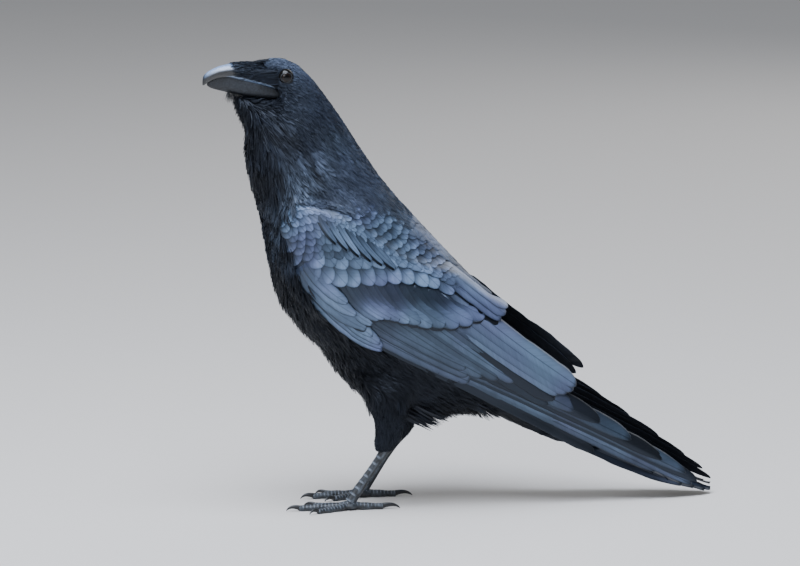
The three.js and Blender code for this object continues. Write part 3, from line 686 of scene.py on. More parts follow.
def wing(mark, right):
    flight, cover, little = f"Wing_{mark}_flight", f"Wing_{mark}_coverts", f"Wing_{mark}_small_coverts"
    # tall strips side by side on the bake map, one for each flight feather
    strips = 40
    first = 0
    for group in (rightPrimaries if right else primaries, secondaries, rightTertials if right else tertials):
        cells = np.arange(first, first + len(group["roots"]))
        first += len(cells)
        layGroup(flight, flightField, group, right, stacked(cells / strips + 0.002, 0.01, 0.021, 0.98))
    for group in (dark(greaterCoverts, (-0.6, -1.5), root=-1.8, end=0.1), greaterCoverts, primaryCoverts,
                  alula):
        layGroup(cover, flightField, group, right)
    layRows(little, covertField, medianCoverts, right)
    layRows(little, covertField, lesserCoverts, right)
    for group in (dark(fingers, (-1.3, -1.5), root=-0.6, end=0.9, roll=0.4, rows=12), fingers, longScapulars):
        layGroup(little, covertField, group, right)
    layRows(little, covertField, scapulars, right)
    buildPiece(flight, flightFeather,
               [f"wing_{mark}_secondaries", f"wing_{mark}_primaries"], thick=0.0003)
    buildPiece(cover, covertFeather, thick=0.00025)
    buildPiece(little, covertFeather)


wing("l", False)
wing("r", True)

# Tail: layouts are seen from above, x and y, one side's outermost feather first.

rectrices = {
    "roots": [(30, -12), (30, -10), (30, -8), (30, -6), (30, -4), (30, -1.5)],
    "tips": [(176, -21), (190, -20.5), (203, -18), (215, -13.5), (226, -8), (232.5, -2)],
    "bow": [6, 5.5, 5, 4, 3, 2], "outer": [5, 5.4, 5.8, 6.2, 7, 9], "inner": [10, 10, 10, 10, 10, 9],
    "tip": 0.17, "power": 1.8, "root": np.linspace(-1.6, 1.0, 6), "end": [-1.5, -1.5, -1, -0.5, 0.4, 2],
    "rise": 1.3, "roll": -1.6, "crown": 0.5, "rows": 26, "gloss": 0.14,
}
# the right half stands above the left one
rightRectrices = dict(rectrices, end=[3.5, 4.5, 5.5, 6, 6.5, 6.5], roll=-1.2)
for right, group in enumerate((rectrices, rightRectrices)):
    strips = stacked((np.arange(6) + 6 * right) / 12 + 0.004, 0.01, 0.075, 0.98)
    starts, ends = (np.array(group[key]) * mm for key in ("roots", "tips"))
    layVanes("Tail", tailField, starts, ends, group, right, strips)
buildPiece("Tail", flightFeather, ["tail"], thick=0.0004)

# Upper tail coverts, rows from the tail up to the rump: start, length and half spread of each row.
upperTailCoverts = {"lines": [(96, 42, 17), (82, 42, 21), (67, 40, 23), (52, 36, 24), (37, 32, 24)],
                    "outer": 6.4, "inner": 6.4, "tip": 0.38, "power": 1.8, "root": -0.6, "roll": 0.12,
                    "crown": 0.7, "rows": 13, "gloss": 0.3, "shade": (0.2, 0.8)}
rumpField = heightField(["trunk", "tail_coverts", "tail"], 90, (-0.01, -0.045), (0.245, 0.045), 7)
across = np.linspace(-1, 1, 9)
for start, reach, spread in upperTailCoverts["lines"]:
    first = stacked(start - 3 * across ** 2 + rng.normal(0, 1, 9), across * spread * 0.85)
    last = first + stacked(reach - 8 * across ** 2 + rng.normal(0, 1.5, 9), across * 2.5)
    layVanes("Tail_coverts", rumpField, first * mm, last * mm,
             dict(upperTailCoverts, end=1.8 - 0.5 * np.abs(across)))
buildPiece("Tail_coverts", covertFeather)

# The skin is one mesh for all the flesh.
flesh = ["head", "neck", "trunk", "tail_coverts", "thigh_l", "thigh_r", "wing_l_coverts", "wing_r_coverts"]
# the eyes are part of the form that the feathers lie on, and stand out of the skin below it
skin = copyOf("Skin", flesh + ["eye_l", "eye_r"])
applyModifier(skin, "REMESH", mode="VOXEL", voxel_size=0.0023)
applyModifier(skin, "SMOOTH", factor=0.6, iterations=6)
coatPoints = numbersOf(skin.data.vertices, "co", 3)
quads = cornersOf(skin.data)


def onVertices(values):
    # Sums on the coat's vertices of what their faces hold.
    total = np.zeros((len(coatPoints), *values.shape[1:]))
    np.add.at(total, quads, values[:, None])
    return total


vertexNormals = numbersOf(skin.data.vertices, "normal", 3)
for _ in range(6):
    faceNormals = unit(vertexNormals[quads].sum(1))
    vertexNormals = unit(onVertices(faceNormals))
faceNormals = unit(vertexNormals[quads].sum(1))
coatTree = BVHTree.FromPolygons(coatPoints.tolist(), quads.tolist())
thighTree = treeOf(["thigh_l", "thigh_r"])

# What the feathers worn by the wings look like from outside, to lay the body's own against them.
wingPoints, wingFaces, wingCount = [], [], 0
for mark, kind in product("lr", ("flight", "coverts", "small_coverts")):
    mesh = bpy.data.objects[f"Wing_{mark}_{kind}"].data
    wingPoints.append(numbersOf(mesh.vertices, "co", 3))
    wingFaces.append(cornersOf(mesh) + wingCount)
    wingCount += len(mesh.vertices)
wingTree = BVHTree.FromPolygons(np.concatenate(wingPoints).tolist(), np.concatenate(wingFaces).tolist())
wingSolidTree = treeOf(["wing_l_coverts", "wing_r_coverts"])


def wingHeight(points, normals, most=8 * mm):
    # How far the wing feathers stand above places on the coat, or -1 where there are none.
    heights = np.full(len(points), -1.0)
    for i, (p, n) in enumerate(zip(points.tolist(), normals.tolist())):
        way = Vector(n)
        hit = wingTree.ray_cast(Vector(p) + way * most, -way, most + 5 * mm)[3]
        if hit is not None:
            heights[i] = most - hit
    return heights


# The lie and make of the feathers round the body: place (x, z), lie (x, z), length, half width, depth of the
# skin below the coat, painted sheen, spacing, how loose the tips are, and the kind of feather.
comb = {
    "bill root": ((-186, 401), (1, 0.1), 6.5, 0.9, 1.1, 0.25, 1.45, 0.1, "fur"),
    "forehead": ((-177, 405), (1, 0.05), 6.5, 1.0, 1.3, 1.7, 1.45, 0.1, "fur"),
    "crown": ((-162, 406), (1, -0.1), 7.5, 1.1, 1.6, 2.1, 1.5, 0.1, "fur"),
    "hind crown": ((-144, 398), (0.8, -0.6), 9, 1.3, 2.0, 0.9, 1.7, 0.1, "fur"),
    "nape": ((-126, 376), (0.62, -0.78), 14, 2.0, 2.6, 0.32, 2.3, 0.15, "plume"),
    "hind neck": ((-90, 322), (0.6, -0.8), 18, 3, 3.2, 0.45, 2.6, 0.15, "plume"),
    "shoulders": ((-74, 290), (0.62, -0.78), 20, 4, 3.4, 0.62, 3.0, 0.15, "plume"),
    "back": ((-38, 256), (0.68, -0.73), 20, 5, 3.4, 0.8, 3.6, 0.1, "vane"),
    "low back": ((0, 215), (0.72, -0.7), 24, 6, 3.4, 0.5, 4.5, 0.1, "vane"),
    "rump": ((40, 180), (0.75, -0.66), 24, 7, 3.4, 0.3, 5, 0.2, "vane"),
    "lores": ((-178, 391), (0.8, 0.1), 6, 0.8, 1.2, 0.0, 1.4, 0.35, "fur"),
    "before eye": ((-169, 391), (0.9, 0.2), 5, 0.7, 1.1, 0.0, 1.3, 0.1, "fur"),
    "over eye": ((-163, 399.5), (1, -0.1), 6, 0.8, 1.2, 1.2, 1.35, 0.1, "fur"),
    "under eye": ((-165, 382), (0.9, -0.4), 5.5, 0.8, 1.2, 0.12, 1.35, 0.1, "fur"),
    "behind eye": ((-149, 390), (0.95, -0.4), 7, 1.0, 1.4, 0.45, 1.5, 0.1, "fur"),
    "cheek": ((-158, 371), (0.75, -0.65), 8, 1.2, 1.7, 0.26, 1.6, 0.15, "fur"),
    "ear": ((-141, 373), (0.72, -0.7), 10, 1.4, 2.0, 0.32, 1.8, 0.15, "fur"),
    "gape": ((-172, 366), (0.9, -0.45), 8, 1.0, 1.8, 0.06, 1.6, 0.3, "fur"),
    "jaw": ((-184, 362), (0.8, -0.6), 13, 0.9, 2, 0.06, 1.9, 0.6, "hackle"),
    "chin": ((-203, 369), (0.3, -0.95), 12, 0.8, 2, 0.05, 1.7, 2.2, "hackle"),
    "throat": ((-192, 345), (0.35, -0.93), 24, 1.0, 3.0, 0.06, 2.3, 1.6, "hackle"),
    "throat side": ((-172, 345), (0.62, -0.78), 22, 1.15, 3, 0.16, 2.3, 1.0, "hackle"),
    "jowl": ((-150, 348), (0.62, -0.78), 14, 2, 2.8, 0.22, 2.2, 0.4, "plume"),
    "neck side": ((-122, 335), (0.6, -0.8), 17, 2.6, 3.1, 0.45, 2.5, 0.15, "plume"),
    "neck clump": ((-150, 318), (0.55, -0.84), 22, 1.2, 3.2, 0.7, 2.3, 1.0, "hackle"),
    "neck streak": ((-160, 285), (0.35, -0.94), 24, 1.3, 3.6, 0.85, 2.5, 1.2, "hackle"),
    "foreneck": ((-190, 312), (0.12, -1), 28, 1.2, 3.6, 0.04, 2.5, 1.4, "hackle"),
    "neck base": ((-120, 300), (0.62, -0.78), 19, 3.4, 3.3, 0.6, 2.8, 0.2, "plume"),
    "wing's front": ((-148, 286), (0.6, -0.8), 14, 2.6, 3.3, 0.85, 2.4, 0.3, "plume"),
    "breast": ((-184, 262), (0.15, -1), 25, 3.6, 4, 0.03, 3.0, 1.4, "plume"),
    "breast side": ((-172, 262), (0.25, -0.97), 22, 3.4, 3.8, 0.3, 2.9, 1.0, "plume"),
    "low breast": ((-166, 208), (0.4, -0.92), 25, 4.2, 4.4, 0.02, 3.3, 2.0, "plume"),
    "belly": ((-126, 152), (0.75, -0.66), 27, 4.6, 5, 0.0, 3.5, 2.4, "plume"),
    "low belly": ((-86, 110), (0.9, -0.43), 27, 4.6, 5, 0.0, 3.5, 2.0, "plume"),
    "flank": ((-60, 135), (0.8, -0.6), 28, 5, 5, 0.02, 3.8, 0.8, "plume"),
    "vent": ((-25, 86), (0.95, -0.45), 26, 4.2, 4.6, 0.0, 3.4, 4.5, "plume"),
    "under tail": ((40, 74), (0.95, -0.32), 36, 6, 3.4, 0.0, 4.6, 0.4, "vane"),
    "under tail end": ((100, 52), (0.93, -0.37), 36, 6, 2.4, 0.0, 4.6, 0.2, "vane"),
    "upper tail": ((75, 98), (0.87, -0.49), 34, 7, 3.4, 0.3, 5, 0.1, "vane"),
}
kinds = ["fur", "plume", "vane", "hackle"]
combPlaces = np.array([row[0] for row in comb.values()]) * mm
combValues = np.array([[*row[1], *row[2:8]] for row in comb.values()]) * (1, 1, mm, mm, mm, 1, mm, mm)
combKinds = np.array([kinds.index(row[8]) for row in comb.values()])
# how far from the eye's middle feathers part, how close they come, where roots and bristles start, how far
# in and out this holds, and the height above which it does
eyeRoom = {"parting": 9.5, "edge": 6.2, "lid": 5.15, "roots": 5.4, "bristles": 7.6, "deep": 9, "low": 360}
# the feathers of the thighs, in the same order as a row of the comb, and the heights where they give way
legFeathers = np.array([0.06, -1, 16 * mm, 2.4 * mm, 3 * mm, 0.12, 2.4 * mm, 0.3 * mm])
thighTop = {"none": 0.115, "all": 0.095}


def combed(points):
    # What the comb says at places on the coat, and the kind of feather there.
    away = ((points[:, None, [0, 2]] - combPlaces[None]) ** 2).sum(-1)
    weight = 1 / (away + (9 * mm) ** 2) ** 2.5
    kind = combKinds[np.argmax(weight * rng.uniform(0.3, 1, weight.shape), 1)]
    values = (weight / weight.sum(1, keepdims=True)) @ combValues
    on = np.array([thighTree.find_nearest(p)[3] for p in points.tolist()])
    leg = (1 - smoothstep(0.5 * mm, 9 * mm, on)) * smoothstep(thighTop["none"], thighTop["all"], points[:, 2])
    leg = leg[:, None]
    kind = np.where(leg[:, 0] > 0.5, kinds.index("plume"), kind)
    return values * (1 - leg) + legFeathers * leg, kind


def lie(points):
    values = combed(points)[0]
    way = stacked(values[:, 0], 0, values[:, 1])
    # feathers part round the eye
    off, away = toPoint(points, eyePlaces[0])
    toEye = -off / np.maximum(away, 1e-6)[:, None]
    into = np.maximum((way[:, [0, 2]] * toEye).sum(1), 0)
    into = into * smoothstep(eyeRoom["parting"] * mm, eyeRoom["edge"] * mm, away)
    way[:, [0, 2]] -= toEye * (into * 1.25)[:, None]
    return way


def toPoint(points, eye):
    # The way across the view from an eye, and how far off it is.
    off = (points - eye)[..., [0, 2]]
    return off, np.linalg.norm(off, axis=-1)


def clumps(points):
    # From 0 to 1 over the coat: where its feathers draw together into raised clumps that take more painted
    # sheen.
    x, y, z = (points / mm).T
    across, down = 0.8 * x + 0.6 * z, 0.6 * x - 0.8 * z
    wave = np.sin(across / 2.1 + 1.7 * np.sin(down / 11) + 0.9 * np.sin(y / 3)) * 0.5
    wave = wave + 0.5 * np.sin(across / 4.3 + 2.3 * np.sin(down / 17 + 1) + y / 5 + 2)
    return np.clip(0.5 + 0.5 * wave, 0, 1)


centres = coatPoints[quads].mean(1)
a, b, c, d = coatPoints[quads].transpose(1, 0, 2)
areas = np.linalg.norm(np.cross(c - a, d - b), axis=1) / 2
skinDepth, skinPaintedSheen = combed(coatPoints)[0][:, [4, 5]].T

# the skin itself lies below the coat, and deeper under the wings
underWing = {"near": 4, "depth": 3.8}
onWing = np.array([wingSolidTree.find_nearest(p, underWing["near"] * mm)[0] is not None
                   for p in coatPoints.tolist()])
skinDepth = np.where(onWing, np.maximum(skinDepth, underWing["depth"] * mm), skinDepth)
facesRound = onVertices(np.ones(len(quads)))
for _ in range(4):
    skinDepth = onVertices(skinDepth[quads].mean(1)) / np.maximum(facesRound, 1)
skin.data.vertices.foreach_set("co", (coatPoints - vertexNormals * skinDepth[:, None]).ravel())
skin.data.update()
# the skin takes 0.4 of the painted sheen
paint(skin, "look", stacked(skinPaintedSheen * 0.4, 0.4, 0.5), 3)
for name in ("Vane", "OFBake"):
    uvMap(skin, name, unwrapped(coatPoints)[quads.ravel()])
skin.data.shade_smooth()
placePiece(skin, bodyFeather, flesh)
print("skin", len(quads) * 2, "triangles")


def scatter(spacing, allowed):
    # Roots spread evenly over the coat's faces, about the local spacing apart.
    # many more places are tried than there is room for
    chance = np.where(allowed, areas / spacing ** 2, 0)
    faces = rng.choice(len(quads), size=int(chance.sum() / 0.75) * 5, p=chance / chance.sum())
    a, b = rng.random((2, len(faces), 1))
    p = coatPoints[quads[faces]]
    points = (p[:, 0] * (1 - a) + p[:, 1] * a) * (1 - b) + (p[:, 3] * (1 - a) + p[:, 2] * a) * b
    cell = 2.6 * mm
    taken, kept = {}, []
    for i, (point, gap, key) in enumerate(zip(points.tolist(), spacing[faces].tolist(),
                                              np.floor(points / cell).astype(int).tolist())):
        reach = 1 if gap < cell else 2
        near = product(*(range(k - reach, k + reach + 1) for k in key))
        if not any(math.dist(q, point) < gap for place in near for q in taken.get(place, ())):
            taken.setdefault(tuple(key), []).append(point)
            kept.append(i)
    return points[kept]


def follow(tree, normals, starts, lengths, steps, wayOf, sway):
    # Paths over a surface along the lie, and the surface's normals on them.
    point, path, ups = starts, [], []
    for _ in range(steps + 1):
        found = [tree.find_nearest(p) for p in point.tolist()]
        spot = np.array([f[0] for f in found])
        up = normals[[f[2] for f in found]]
        path.append(spot)
        ups.append(up)
        way = wayOf(spot)
        way = unit(way - up * (way * up).sum(-1, keepdims=True))
        way = way * np.cos(sway)[:, None] + np.cross(up, way) * np.sin(sway)[:, None]
        point = spot + way * (lengths / steps)[:, None]
    return np.stack(path, 1), np.stack(ups, 1)


def raiseVanes(piece, path, ups, shape):
    # Vanes, strands or bristles along paths. shape holds arrays in metres for each: length, half, low,
    # high, and shift, bend, roll, crown, loose, part, painted sheen, tone; and for all: rows, columns, tip,
    # power, base, rim.
    count, steps = len(path), path.shape[1] - 1
    each = reader(shape, count)
    t = vaneRows(shape["rows"], 1.4)
    reach = t[None] * each("part", 1.0) * steps
    i = np.clip(reach.astype(int), 0, steps - 1)
    f = (reach - i)[..., None]
    pick = np.arange(count)[:, None]
    centre = path[pick, i] * (1 - f) + path[pick, i + 1] * f
    up = unit(ups[pick, i] * (1 - f) + ups[pick, i + 1] * f)
    side = unit(np.cross(unit(np.gradient(centre, axis=1)), up))
    columns = np.array(shape["columns"])
    grow = vaneOutline(t[None], shape["tip"], shape["power"], shape.get("base", 0.15))
    drift = each("shift") * smoothstep(-0.1, 0.75, t)[None] + each("bend") * t[None] ** 2
    offset = (each("half") * grow)[..., None] * columns
    lift = each("low") + (each("high") - each("low")) * t[None] ** 0.8 + each("loose") * t[None] ** 2.5
    lift = lift[..., None] + each("roll")[..., None] * columns
    lift = lift + (each("crown") * grow)[..., None] * (1 - columns ** 2)
    points = centre[:, :, None] + side[:, :, None] * (drift[..., None] + offset)[..., None]
    points = points + up[:, :, None] * lift[..., None]
    vane = stacked(offset, (t * each("length"))[..., None])
    # painted shade: each feather is darker towards its root, under the ones above
    paintedRootShade = (0.45 + 0.55 * smoothstep(0, 0.5, t))[None, :, None]
    # a darker rim, partly the vane's own and partly a painted shadow line
    edge = np.abs(columns) ** 6 * shape.get("rim", 0.8)
    gather(piece, points, vane, stacked(each("gloss")[..., None] * paintedRootShade, edge, each("tone")[..., None]))


crowding = 0.9
spacing = combed(centres)[0][:, 6]
# behind these places along the body, and this far below wing feathers, the coat has no roots
bare = {"wing": -142, "rump": 50, "end": 80, "below": 4.5}
# the wing's own feathers alone cover it behind its front edge
onWingFace = np.array([wingSolidTree.find_nearest(p, 1.3 * mm)[0] is not None for p in centres.tolist()])
onWingFace = onWingFace & (centres[:, 0] > bare["wing"] * mm)
# and the tail coverts alone cover the rump's end
onWingFace = onWingFace | ((centres[:, 0] > bare["rump"] * mm) & (faceNormals[:, 2] > 0.15))
onWingFace = onWingFace | ((centres[:, 0] > bare["end"] * mm) & (faceNormals[:, 0] > 0.7))
# roots stay clear of the places that wing feathers cover
covered = wingHeight(centres, faceNormals) > -bare["below"] * mm
for _ in range(2):
    covered = covered & (onVertices(covered.astype(float))[quads].min(1) > 2.5)
roots = scatter(spacing * crowding, ~(covered | onWingFace))
make, kind = combed(roots)
print(len(roots), "feather roots")


def splitUp(name, count, most):
    # Names and slices of coat pieces that keep each one small.
    parts = math.ceil(count / most)
    return [(f"{name}_{i + 1}", slice(count * i // parts, count * (i + 1) // parts)) for i in range(parts)]


coatPieces = []
alongBody = unwrapped(roots)[:, 1]
# piece, steps of the path, sway and most feathers in a piece
coatKinds = {"fur": ("Face", 3, 0.1, 7500), "plume": ("Body", 5, 0.12, 2700), "vane": ("Back", 4, 0.08, 4000),
             "hackle": ("Throat", 5, 0.16, 6000)}
# what a loose feather is split into: the strands' places across it, rows, width and how ragged their ends are
split = {"fur": ((-1, -0.5, 0, 0.5, 1), 4, 0.24, 0.1),
         "plume": ((-1, -0.74, -0.48, -0.2, 0.06, 0.3, 0.55, 0.8, 1.04), 5, 0.17, 0.09)}
for number, word in enumerate(kinds):
    title, steps, swaying, most = coatKinds[word]
    chosen = np.flatnonzero(kind == number)
    chosen = chosen[np.argsort(alongBody[chosen])]
    values = make[chosen]
    lengths = values[:, 2] * rng.uniform(0.82, 1.15, len(chosen))
    sway = rng.normal(0, swaying, len(chosen))
    path, ups = follow(coatTree, faceNormals, roots[chosen], lengths, steps, lie, sway)
    # those that would run over an eye bend aside along its lid
    for eye in eyePlaces:
        off, away = toPoint(path, eye)
        beside = (np.abs(path[..., 1] - eye[1]) < eyeRoom["deep"] * mm) & (path[..., 2] > eyeRoom["low"] * mm)
        push = np.where(beside, np.maximum(eyeRoom["lid"] * mm - away, 0), 0)
        path[..., [0, 2]] += off / np.maximum(away, 1e-6)[..., None] * push[..., None]
    keep = toPoint(roots[chosen], eyePlaces[0])[1] > eyeRoom["roots"] * mm
    path, ups, lengths = path[keep], ups[keep], lengths[keep]
    half, depth, gloss, _, loose = values[keep, 3:].T
    count = len(path)
    # a feather that runs on over the wing lies on top of the wing's own
    clear = wingHeight(path.reshape(-1, 3), ups.reshape(-1, 3)).reshape(count, steps + 1)
    clear = np.maximum(np.where(clear > -1 * mm, clear + 0.5 * mm, 0), 0)
    clear[:, 1:-1] = (clear[:, :-2] + clear[:, 1:-1] * 2 + clear[:, 2:]) / 4
    path = path + ups * clear[..., None]
    base = {"length": lengths, "half": half * rng.uniform(0.85, 1.15, count), "low": -depth * 0.85,
            "high": rng.uniform(-0.1, 0.25, count) * mm, "gloss": gloss, "tone": rng.random(count),
            "loose": loose * rng.uniform(0.1, 1.2, count) ** 1.5, "roll": rng.normal(0, 0.12, count) * mm}
    if word in ("plume", "hackle"):
        # clumps matter most where the feathers are loose
        drawn = clumps(path[:, 1])
        clumped = np.clip(loose / mm, 0.25, 1)
        base["gloss"] = gloss * (1 - clumped + clumped * (0.12 + 1.9 * drawn ** 2.2))
        base["high"] = base["high"] + clumped * (drawn - 0.3) * 1.3 * mm + loose * 0.45
    for name, part in splitUp(title, count, most):
        now = {k: v[part] for k, v in base.items()}
        many = len(now["half"])
        coatPieces.append(name)
        if word == "vane":
            raiseVanes(name, path[part], ups[part], dict(
                now, rows=8, columns=(-1, -0.55, 0, 0.55, 1), tip=0.4, power=2.2, crown=now["half"] * 0.12))
        elif word == "hackle":
            # long pointed feathers, with a finer one beside each
            for finer in (1.0, 0.45):
                raiseVanes(name, path[part], ups[part], dict(
                    now, rows=8, columns=(-1, 0, 1), tip=0.9, power=1.5, base=0.3, half=now["half"] * finer,
                    crown=now["half"] * 0.5 * finer, bend=rng.normal(0, 0.7 * mm, many),
                    shift=rng.normal(0, 1.0, many) * now["half"] * (finer < 1),
                    high=now["high"] + (finer < 1) * rng.uniform(0, 0.5, many) * mm,
                    tone=np.clip(now["tone"] + rng.normal(0, 0.2, many), 0, 1)))
        else:
            strands, rows, narrow, ragged = split[word]
            for strand in strands:
                raiseVanes(name, path[part], ups[part], dict(
                    now, rows=rows, columns=(-1, 1), tip=0.75, power=1.6, base=0.3, rim=0.2,
                    shift=now["half"] * (strand + rng.normal(0, 0.13, many)) * 0.85,
                    half=now["half"] * narrow * rng.uniform(0.7, 1.3, many),
                    part=np.clip(1 - 0.24 * strand ** 2 + rng.normal(0, ragged, many), 0.5, 1.0),
                    high=now["high"] + rng.normal(0, 0.18 * mm, many) - abs(strand) * 0.2 * mm,
                    roll=rng.normal(0, 0.1 * mm, many), bend=now["half"] * rng.normal(0, 0.22, many),
                    tone=np.clip(now["tone"] + rng.normal(0, 0.16, many), 0, 1)))
for name in coatPieces:
    buildPiece(name, bodyFeather)

# Ragged tufts hang loose behind the thighs, under the wing's edge.
ventTufts = {"tips": [(-30, 72), (-24, 75), (-12, 84), (-17, 79), (0, 91), (10, 91), (22, 86)], "reach": 32,
             "across": 26, "strands": 26, "half": 1.1, "sag": 4}
tips = np.repeat(np.array(ventTufts["tips"], float), 2 * ventTufts["strands"], 0)
many = len(tips)
flank = np.repeat(np.tile([-1, 1], len(ventTufts["tips"])), ventTufts["strands"])
ends = stacked(tips[:, 0], flank * ventTufts["across"], tips[:, 1])
ends = ends + rng.normal(0, 1, (many, 3)) * (2.2, 3.0, 1.6)
starts = ends + stacked(-0.86, 0.1 * flank, 0.5) * ventTufts["reach"]
starts = starts + rng.normal(0, 1, (many, 3)) * (2, 4, 2)
share = np.linspace(0, 1, 5)[None, :, None]
sag = np.array([0, 0, -ventTufts["sag"]]) * share * (1 - share)
path = (starts[:, None] * (1 - share) + ends[:, None] * share + sag) * mm
ups = np.broadcast_to(unit(stacked(-0.35, 0.8 * flank, -0.5))[:, None], path.shape)
raiseVanes("Vent_tufts", path, ups, {
    "rows": 6, "columns": (-1, 0, 1), "tip": 0.8, "power": 1.4, "base": 0.3,
    "length": ventTufts["reach"] * mm, "half": rng.uniform(0.4, 1, many) * ventTufts["half"] * mm,
    "high": rng.normal(0, 0.6, many) * mm, "gloss": rng.uniform(0, 0.1, many), "tone": rng.random(many),
    "crown": 0.2 * mm, "rim": 0.2})
buildPiece("Vent_tufts", bodyFeather)


def hornOf(name, look):
    # Black keratin, polished towards the tip and dull and finely pitted near the root, with a painted pale
    # blue highlight along the ridge and the cutting edges.
    horn, shader, add = newMaterial(name, Specular_IOR_Level=look["specular"], Coat_Weight=look["coat"],
                                    Coat_Roughness=look["coatRough"])
    place = add("TexCoord", out="Object")
    axes = add("SeparateXYZ", {"Vector": place}, None)
    toRoot = add("MapRange", {0: axes["X"], 1: look["front"], 2: look["back"]}, clamp=True)
    pits = add("TexNoise", {"Vector": place, "Scale": 800.0, "Detail": 3.0})
    stretch = add("Mapping", {"Vector": place, "Scale": (90, 700, 700)})
    grain = add("TexNoise", {"Vector": stretch, "Scale": 1.0, "Detail": 3.0})
    paleMark = add("Attribute", out="Fac", attribute_name="paleMark")
    tint = add("Mix", {0: toRoot, 6: linear(look["tip"]), 7: linear(look["root"])}, 2, data_type="RGBA")
    # painted highlight: pale blue where the bill's shape marks its ridge and cutting edges
    tint = add("Mix", {0: paleMark, 6: tint, 7: linear("#839cc0")}, 2, data_type="RGBA")
    speckle = add("MapRange", {0: pits, 1: 0.35, 2: 0.7, 3: 1 - look["speckle"], 4: 1 + 2 * look["speckle"]})
    tinted = add("VectorMath", {0: tint, "Scale": speckle}, operation="SCALE")
    roughness = add("Math", {0: grain, 1: 0.2, 2: look["rough"]}, operation="MULTIPLY_ADD")
    roughness = add("Math", {0: toRoot, 1: 0.25, 2: roughness}, operation="MULTIPLY_ADD")
    height = add("Math", {0: grain, 1: pits}, operation="ADD")
    bump = add("Bump", {"Height": height, "Strength": look["bump"], "Distance": 0.0002})
    feed(shader, Base_Color=tinted, Roughness=roughness, Normal=bump)
    return horn


upperHorn = hornOf("Polished horn", {
    "tip": "#0c0e12", "root": "#15171b", "rough": 0.26, "specular": 0.8, "coat": 0.6, "coatRough": 0.28,
    "speckle": 0.15, "bump": 0.2, "front": -0.212, "back": -0.19})
lowerHorn = hornOf("Dull horn", {
    "tip": "#16191e", "root": "#22262c", "rough": 0.38, "specular": 0.45, "coat": 0.08, "coatRough": 0.3,
    "speckle": 0.45, "bump": 0.5, "front": -0.222, "back": -0.2})


def ringGrid(n, m):
    # n rings of m points: how far along each ring lies, and the angle of each point round it.
    return np.linspace(0, 1, n)[:, None], np.linspace(0, 2 * math.pi, m, endpoint=False)[None]


def sweep(start, *parts):
    # Points reached from a start by going along axes, each with its distances for all points.
    for axis, distance in parts:
        start = start + np.asarray(axis) * distance[..., None]
    return start


def band(value, middle, width):
    return np.exp(-((value - middle) / width) ** 2)


def tubeFaces(n, m):
    # The quads between n rings of m points.
    row, here = np.meshgrid(np.arange(0, (n - 1) * m, m), np.arange(m), indexing="ij")
    after = (here + 1) % m
    return np.stack([row + here, row + m + here, row + m + after, row + after], -1).reshape(-1, 4)


def tubePiece(name, rings, material, replaced, wearAndHighlight=None):
    # A closed skin over rings of points (n, m, 3), with each end closed. The last argument marks where it is
    # paler: a painted highlight on the bill, paler scale ends on the legs.
    n, m = rings.shape[:2]
    points = np.concatenate([rings.reshape(-1, 3), rings[[0, -1]].mean(1)])
    here = np.arange(m)
    after = (here + 1) % m
    ends = [stacked(here, after, n * m), stacked((n - 1) * m + after, (n - 1) * m + here, n * m + 1)]
    made, _ = newMesh(name, points, [tubeFaces(n, m), *ends])
    editWhole(made, bpy.ops.mesh.normals_make_consistent, inside=False)
    if wearAndHighlight is not None:
        paint(made, "paleMark", np.append(np.broadcast_to(wearAndHighlight, (n, m)), [0, 0]))
    return placePiece(made, material, replaced)


# rows from the tip: x, ridge, mouth line, half width
upperRows = [(-232.6, 386.6, 383, 0.5), (-231.6, 391, 382.6, 1.8), (-228, 394.4, 385, 3.4),
             (-223, 397.2, 387.7, 4.9), (-217, 399.6, 389.4, 6.3), (-207, 401.6, 389.6, 8.2),
             (-195, 402.4, 386.8, 10.2), (-182, 401.6, 383.4, 11.8), (-171, 399.5, 379.6, 12.6),
             (-166, 397, 377, 12.2)]
lowerRows = [(-228.5, 385.5, 382.4, 0.8), (-225, 388, 380, 2.1), (-217, 391, 377.6, 4.1),
             (-207, 391.5, 375.2, 6.3), (-195, 388.8, 372.4, 9.2), (-182, 385.4, 370, 11.6),
             (-171, 381.4, 369, 13), (-166, 378, 369.5, 12.9), (-162.5, 376, 371, 11.5)]


